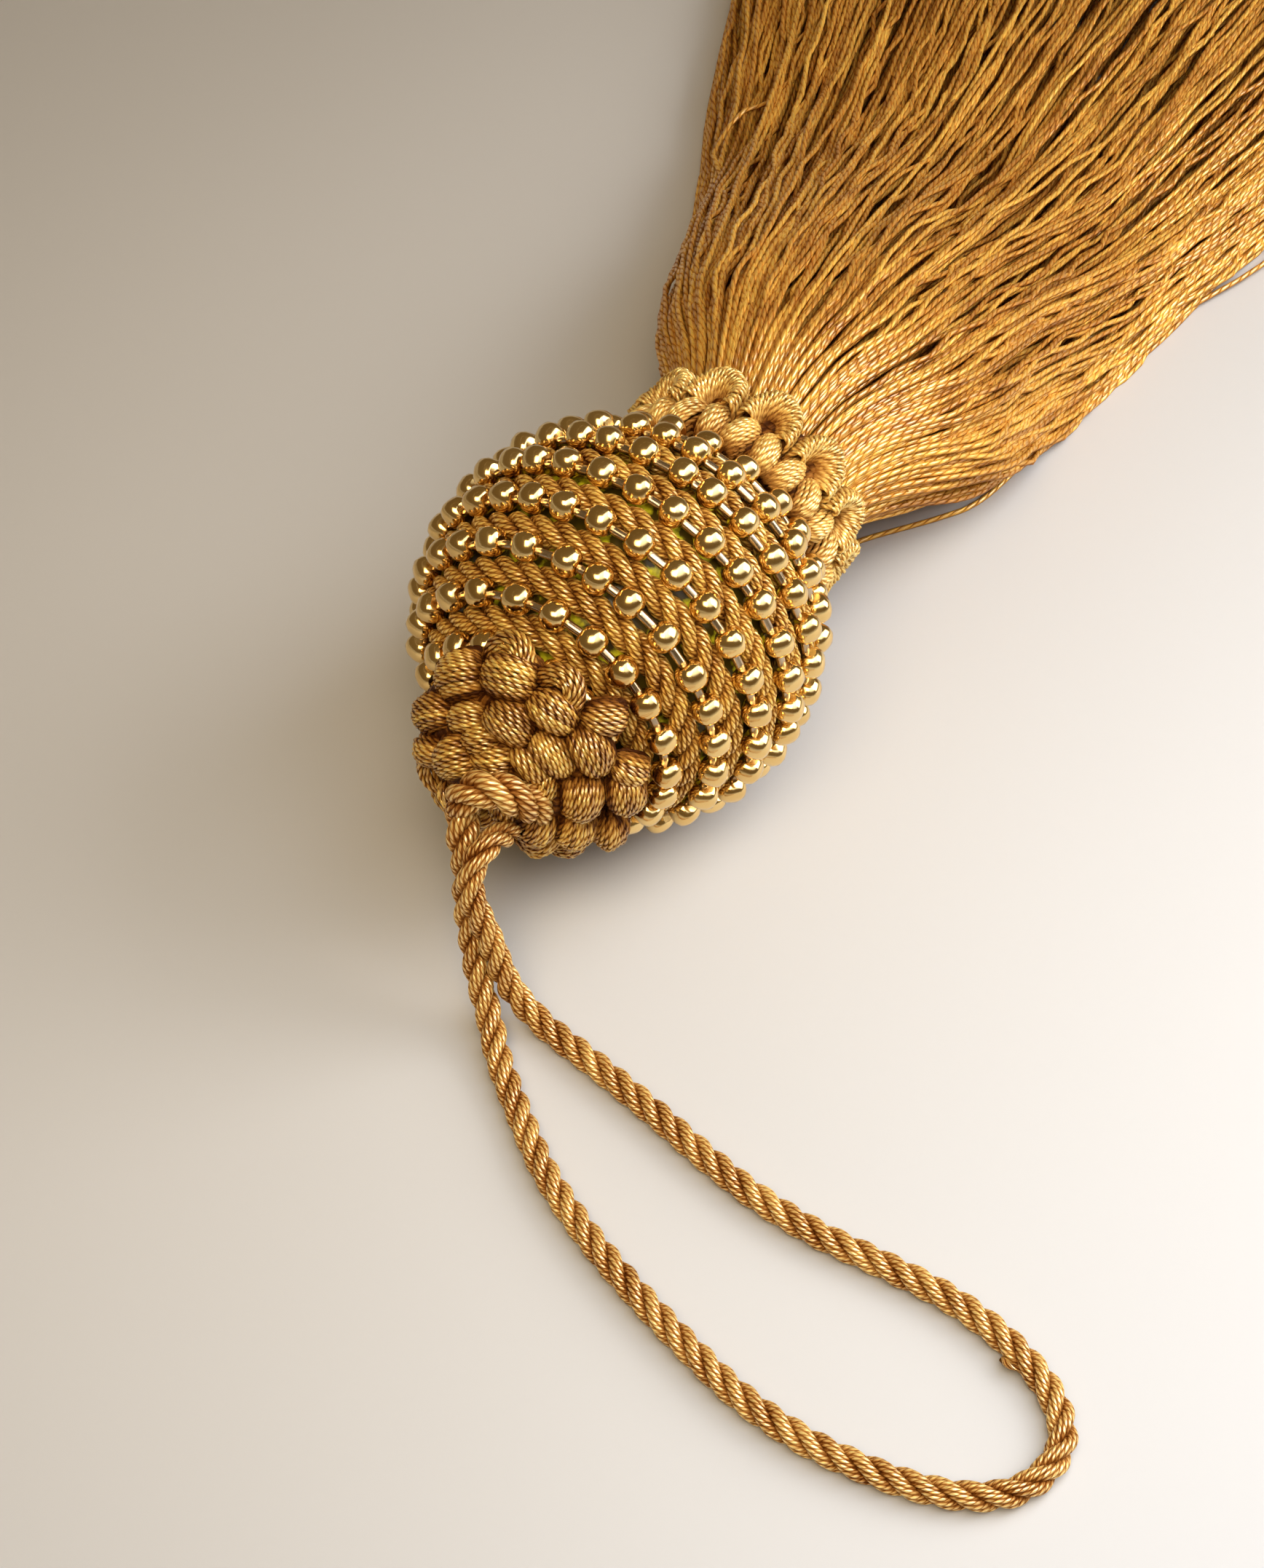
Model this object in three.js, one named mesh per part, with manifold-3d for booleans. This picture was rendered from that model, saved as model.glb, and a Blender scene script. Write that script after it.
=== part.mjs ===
// A trimming tassel that lies on a table. A ball is wound with a laid cord and a bead chain side by
// side. A crown of scroll braid covers one end and carries the hanging loop, a collar of the same
// braid covers the neck at the other end, and a skirt of thread locks fans out from the neck.
// Millimetres, +Z up. The tassel's axis runs along +X, from the crown to the skirt. The origin is
// the spot on the table under the middle of the ball.
import * as THREE from 'three';
import { mergeVertices } from 'three/addons/utils/BufferGeometryUtils.js';
import Module from 'manifold-3d';

const wasm = await Module();
wasm.setup();

const radians = THREE.MathUtils.degToRad;

// Clearance between two pieces that touch
const GAP = 0.3;

// Ball and its windings
const CORE_RADIUS = 19.3;
const BEAD_DIAMETER = 2.8;
const BEAD_SPACING = 4.4;
const BEAD_SIDES = 5;
const LINK_DIAMETER = 0.9;
const WRAP_CORD_DIAMETER = 2.0;
const WRAP_CORD_SIDES = 6;
const WRAP_STEPS_PER_TURN = 22;
const TURN_PITCH = radians(14.6);
const TURN_HAND = -1;
const LEVEL_SHARE = 0.6;
const CHAIN_TURNS = { first: -4.1, last: 3.85 };
const CORD_TURNS = { first: -4.2, last: 3.7 };
const REST_FLAT = 0.4;

// The ball's middle stands so high that the lowest beads are flattened by REST_FLAT
const WOUND_RADIUS = CORE_RADIUS + GAP + BEAD_DIAMETER;
const BALL_HEIGHT = WOUND_RADIUS - REST_FLAT;

// Rows of braid lumps on the crown, from its rim to its tip: how many lumps are in the row, the angle
// their faces lean out from the axis, and how wide and high they are
const CROWN_RIM = { x: -17.6, r: 14.6 };
const CROWN_ROWS = [
  { count: 14, lean: 46, wide: 6.0, high: 2.3 },
  { count: 10, lean: 44, wide: 5.6, high: 2.3 },
  { count: 6, lean: 34, wide: 5.0, high: 2.0 },
];
const CROWN_TIP = -29.2;

// The crown's underside: over the first windings, then down to the core
const CROWN_UNDERSIDE = [
  { x: -17.9, r: 14.2 },
  { x: -19.9, r: 11.5 },
  { x: -21.4, r: 8.5 },
  { x: -18.4, r: 7.4 },
  { x: -19.5, r: 3.7 },
  { x: -19.85, r: 0 },
];

// The collar's rows, from the ball to the skirt
const NECK_RADIUS = 11.3;
const COLLAR_RIM = { x: 18.0, r: 14.3 };
const COLLAR_ROWS = [
  { count: 14, lean: 66, wide: 5.2, high: 2.0 },
  { count: 14, lean: 92, wide: 4.6, high: 2.0 },
];
const COLLAR_BORE = { first: 19.9, last: 27.2, r: NECK_RADIUS + GAP };

// Each row of lumps has so many points across it, and falls to LUMP_PINCH of its height between lumps
const LUMP_ACROSS = 4;
const LUMP_AROUND = 4;
const LUMP_PINCH = 0.35;
const BALL_SIDES = 18;
const BALL_BANDS = 12;
const TURNED_SIDES = 24;

// Skirt: locks of thread laid out as a fan on the table
const NECK_START = CORE_RADIUS + 2 * GAP;
const NECK_END = 28.0;
const ROOT_DEPTH = 1.0;
const ROOT_RADIUS = 10.9;
const SKIRT_LENGTH = 150;
const SKIRT_LENGTH_VARIES = 3;
const FAN_LEAN = radians(9);
const FAN_HALF_ANGLE = radians(16.5);
const FAN_FLARE = { width: 5.8, length: 22 };
const FALL_LENGTH = { low: 38, high: 84 };
const PILE_END_HEIGHT = 11;
const PILE_NECK_EXTRA = 19;
const PILE_SETTLE_LENGTH = 50;
const LOCK_COLUMNS = 27;
const LOCK_LAYERS = 5;
const LOCK_FILL = 0.82;
const LOCK_STATIONS = [-ROOT_DEPTH, 9, FAN_FLARE.length, FALL_LENGTH.low, 58, FALL_LENGTH.high];

// Hanging loop of laid cord, doubled at the crown
const LOOP_DIAMETER = 3.2;
const LOOP_LAY = 8.7;
const LOOP_STEPS_PER_LAY = 5;
const LOOP_PLIES = 3;
const LOOP_GROOVE = 0.7;
const LOOP_SHOULDER = radians(26);
const LOOP_FLOOR = 1.7;
const LOOP_ROUTE = [
  [-30.4, -0.8, 22.2], [-32.2, -1.9, 20.2], [-33.8, -3.1, 17.3], [-35.2, -4.2, 14.0],
  [-36.4, -5.3, 10.4], [-37.8, -6.9, 6.6], [-39.8, -9.4, 3.4], [-42.6, -12.7, 1.9],
  [-46.1, -17.1, LOOP_FLOOR], [-51.2, -24.0, LOOP_FLOOR], [-54.9, -31.0, LOOP_FLOOR],
  [-57.9, -38.5, LOOP_FLOOR], [-60.5, -46.5, LOOP_FLOOR], [-62.5, -54.0, LOOP_FLOOR],
  [-63.2, -61.0, LOOP_FLOOR], [-62.8, -67.0, LOOP_FLOOR], [-61.7, -72.8, LOOP_FLOOR],
  [-59.9, -77.4, LOOP_FLOOR], [-57.2, -80.7, LOOP_FLOOR], [-53.8, -82.2, LOOP_FLOOR],
  [-50.4, -82.1, LOOP_FLOOR], [-47.8, -80.5, LOOP_FLOOR], [-45.7, -77.9, LOOP_FLOOR],
  [-44.2, -74.6, LOOP_FLOOR], [-43.0, -70.5, LOOP_FLOOR], [-42.3, -65.0, LOOP_FLOOR],
  [-42.5, -58.0, LOOP_FLOOR], [-42.9, -51.0, LOOP_FLOOR], [-42.5, -44.0, LOOP_FLOOR],
  [-41.2, -37.0, LOOP_FLOOR], [-39.5, -30.0, LOOP_FLOOR], [-37.8, -22.0, LOOP_FLOOR],
  [-36.4, -14.5, LOOP_FLOOR], [-35.1, -9.8, 2.5], [-34.0, -6.9, 5.0], [-32.9, -5.0, 8.4],
  [-31.6, -3.7, 12.2], [-30.3, -2.7, 15.8], [-29.2, -1.9, 18.7],
];
const SOCKET_STEPS = 2;
const SOCKET_SIDES = 8;
const SOCKET_DEPTH = 2.5;

// Finishes
const THREAD = { color: 0xb5812f, roughness: 0.55, metalness: 0.0 };
const GILT = { color: 0xd8b25c, roughness: 0.2, metalness: 1.0 };
const GLAZED_CORE = { color: 0x9a8f16, roughness: 0.25, metalness: 0.0 };

// A closed geometry as a solid that can be joined and cut
function solidFrom(geometry) {
  geometry.deleteAttribute('normal');
  geometry.deleteAttribute('uv');
  const merged = mergeVertices(geometry);
  return new wasm.Manifold(new wasm.Mesh({
    numProp: 3,
    vertProperties: new Float32Array(merged.attributes.position.array),
    triVerts: new Uint32Array(merged.index.array),
  }));
}

// A solid as a named mesh with its own finish
function meshFrom(name, solid, finish) {
  const { vertProperties, triVerts } = solid.getMesh();
  const geometry = new THREE.BufferGeometry();
  geometry.setAttribute('position', new THREE.BufferAttribute(vertProperties, 3));
  geometry.setIndex(new THREE.BufferAttribute(triVerts, 1));
  geometry.computeVertexNormals();
  const mesh = new THREE.Mesh(geometry, new THREE.MeshStandardMaterial(finish));
  mesh.name = name;
  return mesh;
}

const joined = (solids) => solids.reduce((whole, piece) => whole.add(piece));

// A route given by stations. Each has its point and the two directions of the section there, and
// the lengths of those directions stretch the section.
class StationRoute extends THREE.Curve {
  constructor(stations) {
    super();
    this.stations = stations;
  }

  getSpacedPoints() {
    return this.stations.map((station) => station.point);
  }

  computeFrenetFrames() {
    return {
      normals: this.stations.map((station) => station.across),
      binormals: this.stations.map((station) => station.up),
    };
  }
}

function sweep(section, stations) {
  return new THREE.ExtrudeGeometry(section, {
    steps: stations.length - 1,
    extrudePath: new StationRoute(stations),
    bevelEnabled: false,
  });
}

// A polygon of unit radius, with a corner pointing up
function unitPolygon(sides) {
  const corners = [];
  for (let i = 0; i < sides; i += 1) {
    const angle = Math.PI / 2 + (2 * Math.PI * i) / sides;
    corners.push(new THREE.Vector2(Math.cos(angle), Math.sin(angle)));
  }
  return new THREE.Shape(corners);
}

// A profile of places on the axis and radii, turned about the tassel's axis. A place with a lump row
// is raised along its face into that row's lumps.
function turned(profile, sides) {
  const points = profile.map(({ x, r }) => new THREE.Vector2(r, x));
  const geometry = new THREE.LatheGeometry(points, sides);
  const position = geometry.attributes.position;
  for (let i = 0; i < position.count; i += 1) {
    const { x, r, raise } = profile[i % profile.length];
    if (raise) {
      const around = (2 * Math.PI * Math.floor(i / profile.length)) / sides;
      const swell = Math.abs(Math.cos((raise.count * around) / 2 + Math.PI * raise.shift));
      const height = raise.height * THREE.MathUtils.lerp(LUMP_PINCH, 1, Math.sqrt(swell));
      const radius = r + height * raise.outward.r;
      position.setXYZ(
        i,
        radius * Math.sin(around),
        x + height * raise.outward.x,
        radius * Math.cos(around),
      );
    }
  }
  geometry.rotateZ(-Math.PI / 2);
  geometry.translate(0, 0, BALL_HEIGHT);
  return solidFrom(geometry);
}

// A place on the ball: the angle from the crown's pole, the angle round the axis, and the radius
function onBall(polar, around, radius) {
  return new THREE.Vector3(
    -radius * Math.cos(polar),
    radius * Math.sin(polar) * Math.cos(around),
    BALL_HEIGHT + radius * Math.sin(polar) * Math.sin(around),
  );
}

// How many rows the winding has stepped along the ball. Each turn runs level from the spot where the
// ball rests, over the front and the top, and steps over to the next row at the back.
function rowAt(turn) {
  const whole = Math.floor(turn);
  return whole + THREE.MathUtils.smoothstep(turn - whole, LEVEL_SHARE, 1);
}

// The winding's path, counted in turns from the spot where the ball rests
function onWinding(turn, shift, radius) {
  const polar = Math.PI / 2 + TURN_PITCH * (rowAt(turn) + shift);
  const around = -Math.PI / 2 + TURN_HAND * 2 * Math.PI * turn;
  return onBall(polar, around, radius);
}

// The winding's direction, as long as the way that one turn goes there
function windingTangent(turn, shift, radius) {
  const nudge = 1e-4;
  const after = onWinding(turn + nudge, shift, radius);
  const before = onWinding(turn - nudge, shift, radius);
  return after.sub(before).divideScalar(2 * nudge);
}

function windingStation(turn, shift, radius, halfThickness) {
  const point = onWinding(turn, shift, radius);
  const centre = new THREE.Vector3(0, 0, BALL_HEIGHT);
  const up = point.clone().sub(centre).normalize();
  const across = up.clone().cross(windingTangent(turn, shift, radius)).normalize();
  return {
    point,
    across: across.multiplyScalar(halfThickness),
    up: up.multiplyScalar(halfThickness),
  };
}

// A plain ball about the middle, the form that the windings and the braid sit on
function ballOf(radius) {
  const geometry = new THREE.SphereGeometry(radius, BALL_SIDES, BALL_BANDS);
  geometry.translate(0, 0, BALL_HEIGHT);
  return solidFrom(geometry);
}

// Laid cord wound between the turns of the chain, half a pitch away from them
function makeCordWrap() {
  const radius = CORE_RADIUS + GAP + WRAP_CORD_DIAMETER / 2;
  const count = Math.round((CORD_TURNS.last - CORD_TURNS.first) * WRAP_STEPS_PER_TURN);
  const stations = [];
  for (let i = 0; i <= count; i += 1) {
    const turn = THREE.MathUtils.lerp(CORD_TURNS.first, CORD_TURNS.last, i / count);
    stations.push(windingStation(turn, 0.5, radius, WRAP_CORD_DIAMETER / 2));
  }
  return solidFrom(sweep(unitPolygon(WRAP_CORD_SIDES), stations));
}

// Turns at which the chain has a bead's middle or a link's middle, in equal steps along the chain
// both ways from the bead that the ball rests on
function chainTurns(radius) {
  const walk = (limit, way) => {
    const turns = [];
    let turn = 0;
    while (way * turn < way * limit) {
      turns.push(turn);
      turn += (way * BEAD_SPACING) / 2 / windingTangent(turn, 0, radius).length();
    }
    const endsOnLink = turns.length % 2 === 0;
    return endsOnLink ? turns : turns.slice(0, -1);
  };
  const back = walk(CHAIN_TURNS.first, -1).slice(1).reverse();
  return [...back, ...walk(CHAIN_TURNS.last, 1)];
}

// Bead chain wound round the ball, its lowest beads flattened where the ball rests
function makeChainWrap() {
  const radius = CORE_RADIUS + GAP + BEAD_DIAMETER / 2;
  const turns = chainTurns(radius);
  const stations = turns.map((turn, i) => {
    const diameter = i % 2 === 0 ? LINK_DIAMETER : BEAD_DIAMETER;
    return windingStation(turn, 0, radius, diameter / 2);
  });
  const chain = solidFrom(sweep(unitPolygon(BEAD_SIDES), stations));
  const side = 4 * WOUND_RADIUS;
  const table = new THREE.BoxGeometry(side, side, side);
  table.translate(0, 0, -side / 2);
  return chain.subtract(solidFrom(table));
}

// The face of a braid band: rows of lumps one after another from its rim, each set half a lump round
// from the one before. side is the way along the axis that the rows go.
function braidFace(rim, rows, side) {
  const places = [];
  const foot = { ...rim };
  rows.forEach((row, n) => {
    const lean = radians(row.lean);
    const outward = { x: side * Math.cos(lean), r: Math.sin(lean) };
    const step = row.wide / LUMP_ACROSS;
    for (let i = 0; i < LUMP_ACROSS; i += 1) {
      const height = row.high * Math.sqrt(Math.sin((Math.PI * i) / LUMP_ACROSS));
      places.push({ ...foot, raise: { count: row.count, shift: n / 2, height, outward } });
      foot.x += side * Math.sin(lean) * step;
      foot.r -= Math.cos(lean) * step;
    }
  });
  places.push({ ...foot });
  return places;
}

// Rope section of three plies, with a groove between each two
function laidSection() {
  const corners = [];
  for (let ply = 0; ply < LOOP_PLIES; ply += 1) {
    const middle = (2 * Math.PI * ply) / LOOP_PLIES;
    const groove = middle + Math.PI / LOOP_PLIES;
    const near = middle - LOOP_SHOULDER;
    const far = middle + LOOP_SHOULDER;
    corners.push(new THREE.Vector2(Math.cos(near), Math.sin(near)));
    corners.push(new THREE.Vector2(Math.cos(far), Math.sin(far)));
    corners.push(new THREE.Vector2(Math.cos(groove), Math.sin(groove)).multiplyScalar(LOOP_GROOVE));
  }
  return new THREE.Shape(corners);
}

const loopCurve = new THREE.CatmullRomCurve3(LOOP_ROUTE.map((p) => new THREE.Vector3(...p)));

// The hanging loop: the section turns once in each lay as it follows the route
function makeLoop() {
  const length = loopCurve.getLength();
  const steps = Math.round((length / LOOP_LAY) * LOOP_STEPS_PER_LAY);
  const frames = loopCurve.computeFrenetFrames(steps, false);
  const radius = LOOP_DIAMETER / 2;
  const stations = loopCurve.getSpacedPoints(steps).map((point, i) => {
    const turn = (2 * Math.PI * i) / LOOP_STEPS_PER_LAY;
    const tangent = frames.tangents[i];
    return {
      point,
      across: frames.normals[i].clone().applyAxisAngle(tangent, turn).multiplyScalar(radius),
      up: frames.binormals[i].clone().applyAxisAngle(tangent, turn).multiplyScalar(radius),
    };
  });
  return solidFrom(sweep(laidSection(), stations));
}

// The room that one leg of the loop needs where it goes into the crown
function makeSocket(end, inward) {
  const direction = inward.clone().normalize();
  const across = new THREE.Vector3(0, 0, 1).cross(direction).normalize();
  const up = direction.clone().cross(across);
  const radius = LOOP_DIAMETER / 2 + GAP;
  const stations = [];
  for (let i = 0; i <= SOCKET_STEPS; i += 1) {
    const reach = THREE.MathUtils.lerp(-SOCKET_DEPTH, GAP, i / SOCKET_STEPS);
    stations.push({
      point: end.clone().addScaledVector(direction, reach),
      across: across.clone().multiplyScalar(radius),
      up: up.clone().multiplyScalar(radius),
    });
  }
  return solidFrom(sweep(unitPolygon(SOCKET_SIDES), stations));
}

function makeCrown() {
  const start = loopCurve.getPointAt(0);
  const end = loopCurve.getPointAt(1);
  const sockets = [
    makeSocket(start, loopCurve.getTangentAt(0).negate()),
    makeSocket(end, loopCurve.getTangentAt(1)),
  ];
  const face = braidFace(CROWN_RIM, CROWN_ROWS, -1).reverse();
  const profile = [{ x: CROWN_TIP, r: 0 }, ...face, ...CROWN_UNDERSIDE];
  const crown = turned(profile, CROWN_ROWS[0].count * LUMP_AROUND);
  return crown.subtract(joined(sockets));
}

function makeCollar() {
  const { first, last, r } = COLLAR_BORE;
  const face = braidFace(COLLAR_RIM, COLLAR_ROWS, 1);
  const profile = [{ x: first, r }, ...face, { x: last, r }, { x: first, r }];
  return turned(profile, COLLAR_ROWS[0].count * LUMP_AROUND);
}

// The skirt's root disc is parted into columns side by side, and each column into layers
function lockCells() {
  const cells = [];
  for (let column = 0; column < LOCK_COLUMNS; column += 1) {
    const u = (2 * column + 1) / LOCK_COLUMNS - 1;
    const half = Math.sqrt(1 - u * u);
    const layers = Math.max(1, Math.round(LOCK_LAYERS * half));
    for (let layer = 0; layer < layers; layer += 1) {
      cells.push({
        u,
        half,
        low: half * ((2 * layer) / layers - 1),
        high: half * ((2 * layer + 2) / layers - 1),
      });
    }
  }
  return cells;
}

// How high a place in the root disc lies when its lock has run so far: it leaves the neck level and
// sinks to its layer of the pile on the table, the lower layers first
function lockHeight(cell, v, run) {
  const fallLength = THREE.MathUtils.lerp(FALL_LENGTH.low, FALL_LENGTH.high, (v + 1) / 2);
  const fall = THREE.MathUtils.smoothstep(run, 0, fallLength);
  const pile = PILE_END_HEIGHT + PILE_NECK_EXTRA * Math.exp(-Math.max(run, 0) / PILE_SETTLE_LENGTH);
  const atNeck = BALL_HEIGHT + ROOT_RADIUS * v;
  const onPile = (pile / 2) * (v + cell.half);
  return THREE.MathUtils.lerp(atNeck, onPile, fall);
}

// One lock: a three-sided strand with its flat side down
function makeLock(cell, index) {
  const heading = FAN_LEAN + FAN_HALF_ANGLE * cell.u;
  const columnWidth = 2 / LOCK_COLUMNS;
  const uneven = 2 * THREE.MathUtils.seededRandom(index + 1) - 1;
  const end = SKIRT_LENGTH + SKIRT_LENGTH_VARIES * uneven;
  const stations = [...LOCK_STATIONS, end].map((run) => {
    const low = lockHeight(cell, cell.low, run);
    const high = lockHeight(cell, cell.high, run);
    const reach = Math.max(run, 0);
    const flare = FAN_FLARE.width * THREE.MathUtils.smoothstep(reach, 0, FAN_FLARE.length);
    const width = columnWidth * (ROOT_RADIUS + flare + reach * FAN_HALF_ANGLE) * LOCK_FILL;
    return {
      point: new THREE.Vector3(
        NECK_END + Math.min(run, 0) + reach * Math.cos(heading),
        (ROOT_RADIUS + flare) * cell.u + reach * Math.sin(heading),
        low,
      ),
      across: new THREE.Vector3(-Math.sin(heading), Math.cos(heading), 0).multiplyScalar(width),
      up: new THREE.Vector3(0, 0, (high - low) * LOCK_FILL),
    };
  });
  const section = new THREE.Shape([
    new THREE.Vector2(-0.5, 0),
    new THREE.Vector2(0.5, 0),
    new THREE.Vector2(0, 1),
  ]);
  return solidFrom(sweep(section, stations));
}

// The skirt: its locks fused at their roots into the bound neck
function makeSkirt() {
  const neck = turned([
    { x: NECK_START, r: 0 },
    { x: NECK_START, r: NECK_RADIUS },
    { x: NECK_END, r: NECK_RADIUS },
    { x: NECK_END, r: 0 },
  ], TURNED_SIDES);
  return joined([neck, ...lockCells().map(makeLock)]);
}

const tassel = new THREE.Group();
tassel.add(
  meshFrom('ball_core', ballOf(CORE_RADIUS), GLAZED_CORE),
  meshFrom('cord_wrap', makeCordWrap(), THREAD),
  meshFrom('chain_wrap', makeChainWrap(), GILT),
  meshFrom('crown_braid', makeCrown(), THREAD),
  meshFrom('collar_braid', makeCollar(), THREAD),
  meshFrom('skirt', makeSkirt(), THREAD),
  meshFrom('hanging_loop', makeLoop(), THREAD),
);

export default tassel;
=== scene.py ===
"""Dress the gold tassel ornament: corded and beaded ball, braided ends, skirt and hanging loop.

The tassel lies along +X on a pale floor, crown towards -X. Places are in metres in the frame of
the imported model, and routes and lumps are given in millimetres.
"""
import logging
import math
from dataclasses import dataclass, field, replace
from enum import Enum

import bpy
import numpy as np
from mathutils import Matrix


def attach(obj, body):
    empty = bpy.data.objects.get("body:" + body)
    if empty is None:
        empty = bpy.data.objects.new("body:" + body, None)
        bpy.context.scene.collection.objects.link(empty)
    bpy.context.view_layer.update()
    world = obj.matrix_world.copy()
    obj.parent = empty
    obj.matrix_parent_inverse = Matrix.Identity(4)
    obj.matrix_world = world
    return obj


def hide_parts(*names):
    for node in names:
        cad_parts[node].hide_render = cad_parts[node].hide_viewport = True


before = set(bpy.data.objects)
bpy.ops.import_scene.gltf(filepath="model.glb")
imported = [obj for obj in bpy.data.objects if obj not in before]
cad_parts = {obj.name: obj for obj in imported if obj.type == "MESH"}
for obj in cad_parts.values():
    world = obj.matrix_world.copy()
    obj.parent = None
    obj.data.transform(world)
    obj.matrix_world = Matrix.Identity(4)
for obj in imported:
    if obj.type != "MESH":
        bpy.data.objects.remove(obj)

logging.basicConfig(level=logging.INFO, format="%(message)s")
LOG = logging.getLogger("tassel")

MM = 0.001
BODY = "root"
BALL_CENTRE = np.array([0.0, 0.0, 22.0]) * MM
UP = (0.0, 0.0, 1.0)
TWIST_MAP = "twist"
TONE = "tone"
# Mesh attribute of painted light: 1 where a strand lies open to light, lower where shade is painted
CREST_LIGHT = "crest_light"
POINTS_PER_SPAN = 24
LEAST_LENGTH = 1e-12
FRAME_START = (0.3, 0.2, 1.0)
FLANK_SHADE_SPAN = (-0.3, 0.75)
MIX_INPUTS = (0, 6, 7)
MIX_RESULT = 2

Array = np.ndarray
Colour = tuple[float, float, float]
Point = tuple[float, float, float]
Span = tuple[float, float]
Socket = bpy.types.NodeSocket


def unit(vectors: Array) -> Array:
    """Return the vectors scaled to length one."""
    return vectors / np.maximum(np.linalg.norm(vectors, axis=-1, keepdims=True), LEAST_LENGTH)


def ring_points(reach: Array, angle: Array) -> Array:
    """Return points round a centre, each at its reach and angle."""
    return np.stack([reach * np.cos(angle), reach * np.sin(angle)], axis=-1)


def ways_round(angle: Array) -> Array:
    """Return the ways straight out of the tassel's axis at some angles."""
    return np.stack([np.zeros_like(angle), np.cos(angle), np.sin(angle)], axis=-1)


def eased(values: Array, low: float, high: float) -> Array:
    """Rise smoothly from 0 at low to 1 at high.

    Args:
        values: Where to read the rise.
        low: Where it starts.
        high: Where it ends.

    Returns:
        The rise, between 0 and 1.
    """
    share = np.clip((values - low) / (high - low), 0.0, 1.0)
    return share * share * (3.0 - 2.0 * share)


def run_along(centres: Array) -> Array:
    """Return the length run from the first point to each point of a line."""
    steps = np.linalg.norm(np.diff(centres, axis=-2), axis=-1)
    return np.concatenate([np.zeros_like(steps[..., :1]), np.cumsum(steps, axis=-1)], axis=-1)


def read_line(marks: Array, run: Array, values: Array) -> Array:
    """Read what a line carries at some lengths along it.

    Args:
        marks: The lengths.
        run: Length run at each point of the line.
        values: Three numbers for each point of the line.

    Returns:
        Three numbers for each mark.
    """
    return np.stack([np.interp(marks, run, values[:, axis]) for axis in range(3)], axis=-1)


def even_line(points: Array, step: float) -> Array:
    """Space a fine line's points evenly.

    Args:
        points: A line of closely set points.
        step: The wanted distance between points.

    Returns:
        Points at even steps on that line, its two ends kept.
    """
    run = run_along(points)
    marks = np.linspace(0.0, run[-1], max(2, round(run[-1] / step) + 1))
    return read_line(marks, run, points)


def smooth_route(points: Array, step: float) -> Array:
    """Draw a smooth line through a few points.

    Args:
        points: The points the line passes through.
        step: The wanted distance between the points returned.

    Returns:
        Evenly spaced points on the line.
    """
    padded = np.vstack([2 * points[:1] - points[1:2], points, 2 * points[-1:] - points[-2:-1]])
    before, start, end, after = (padded[k:len(padded) - 3 + k, None] for k in range(4))
    share = np.linspace(0.0, 1.0, POINTS_PER_SPAN, endpoint=False)[:, None]
    bend = 2 * before - 5 * start + 4 * end - after
    fine = start + 0.5 * share * (
        end - before + share * (bend + share * (3 * (start - end) + after - before)))
    return even_line(np.vstack([fine.reshape(-1, 3), points[-1:]]), step)


def facing_frames(centres: Array, outward: Array) -> tuple[Array, Array]:
    """Set up the two section directions of strands whose first direction faces outward.

    Args:
        centres: Ring centres, with the rings on the last axis but one.
        outward: A direction for each ring, not along the strand.

    Returns:
        The section's outward and sideways directions.
    """
    along = unit(np.gradient(centres, axis=-2))
    across = unit(outward - np.sum(outward * along, axis=-1, keepdims=True) * along)
    return across, np.cross(along, across)


def carried_frames(centres: Array) -> tuple[Array, Array]:
    """Carry two section directions along one line without twisting them.

    Args:
        centres: The line's points.

    Returns:
        The two section directions at each point.
    """
    along = unit(np.gradient(centres, axis=0))
    across = np.empty_like(centres)
    last = np.cross(along[0], FRAME_START)
    for place, direction in enumerate(along):
        last = unit(last - last.dot(direction) * direction)
        across[place] = last
    return across, np.cross(along, across)


@dataclass(frozen=True)
class Section:
    """A strand's outline at unit size, and how lit each corner is painted, with painted shade in
    the grooves.
    """

    corners: Array
    crest_lights: Array

    @classmethod
    def round(cls, sides: int, squared: float = 2.0) -> "Section":
        """Make a round outline.

        Args:
            sides: Corners round it.
            squared: 2 for a circle, more for rounded-off square sides.

        Returns:
            The outline.
        """
        angle = 2 * np.pi * np.arange(sides) / sides
        across, up = np.abs(np.cos(angle)), np.abs(np.sin(angle))
        reach = (across ** squared + up ** squared) ** (-1.0 / squared)
        return cls(ring_points(reach, angle), np.ones(sides))

    @classmethod
    def of_yarns(cls, yarns: int, corners_each: int, groove: float,
                 lit_groove: float = 0.0) -> "Section":
        """Make the outline of a ply, ridged by the yarns twisted into it.

        Args:
            yarns: Yarns round the ply.
            corners_each: Corners given to each yarn.
            groove: The radius between yarns, as a share of the ply's.
            lit_groove: How far light reaches into the grooves, 0 to 1.

        Returns:
            The outline.
        """
        count = yarns * corners_each
        angle = 2 * np.pi * np.arange(count) / count
        crest_light = np.sin(np.pi * (np.arange(count) % corners_each) / corners_each)
        crest_light = crest_light / crest_light.max()
        reach = groove + (1.0 - groove) * crest_light
        # The crest profile also sets the painted light: lit on the crests, painted shade in the
        # grooves
        return cls(ring_points(reach, angle), lit_groove + (1.0 - lit_groove) * crest_light)


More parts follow.
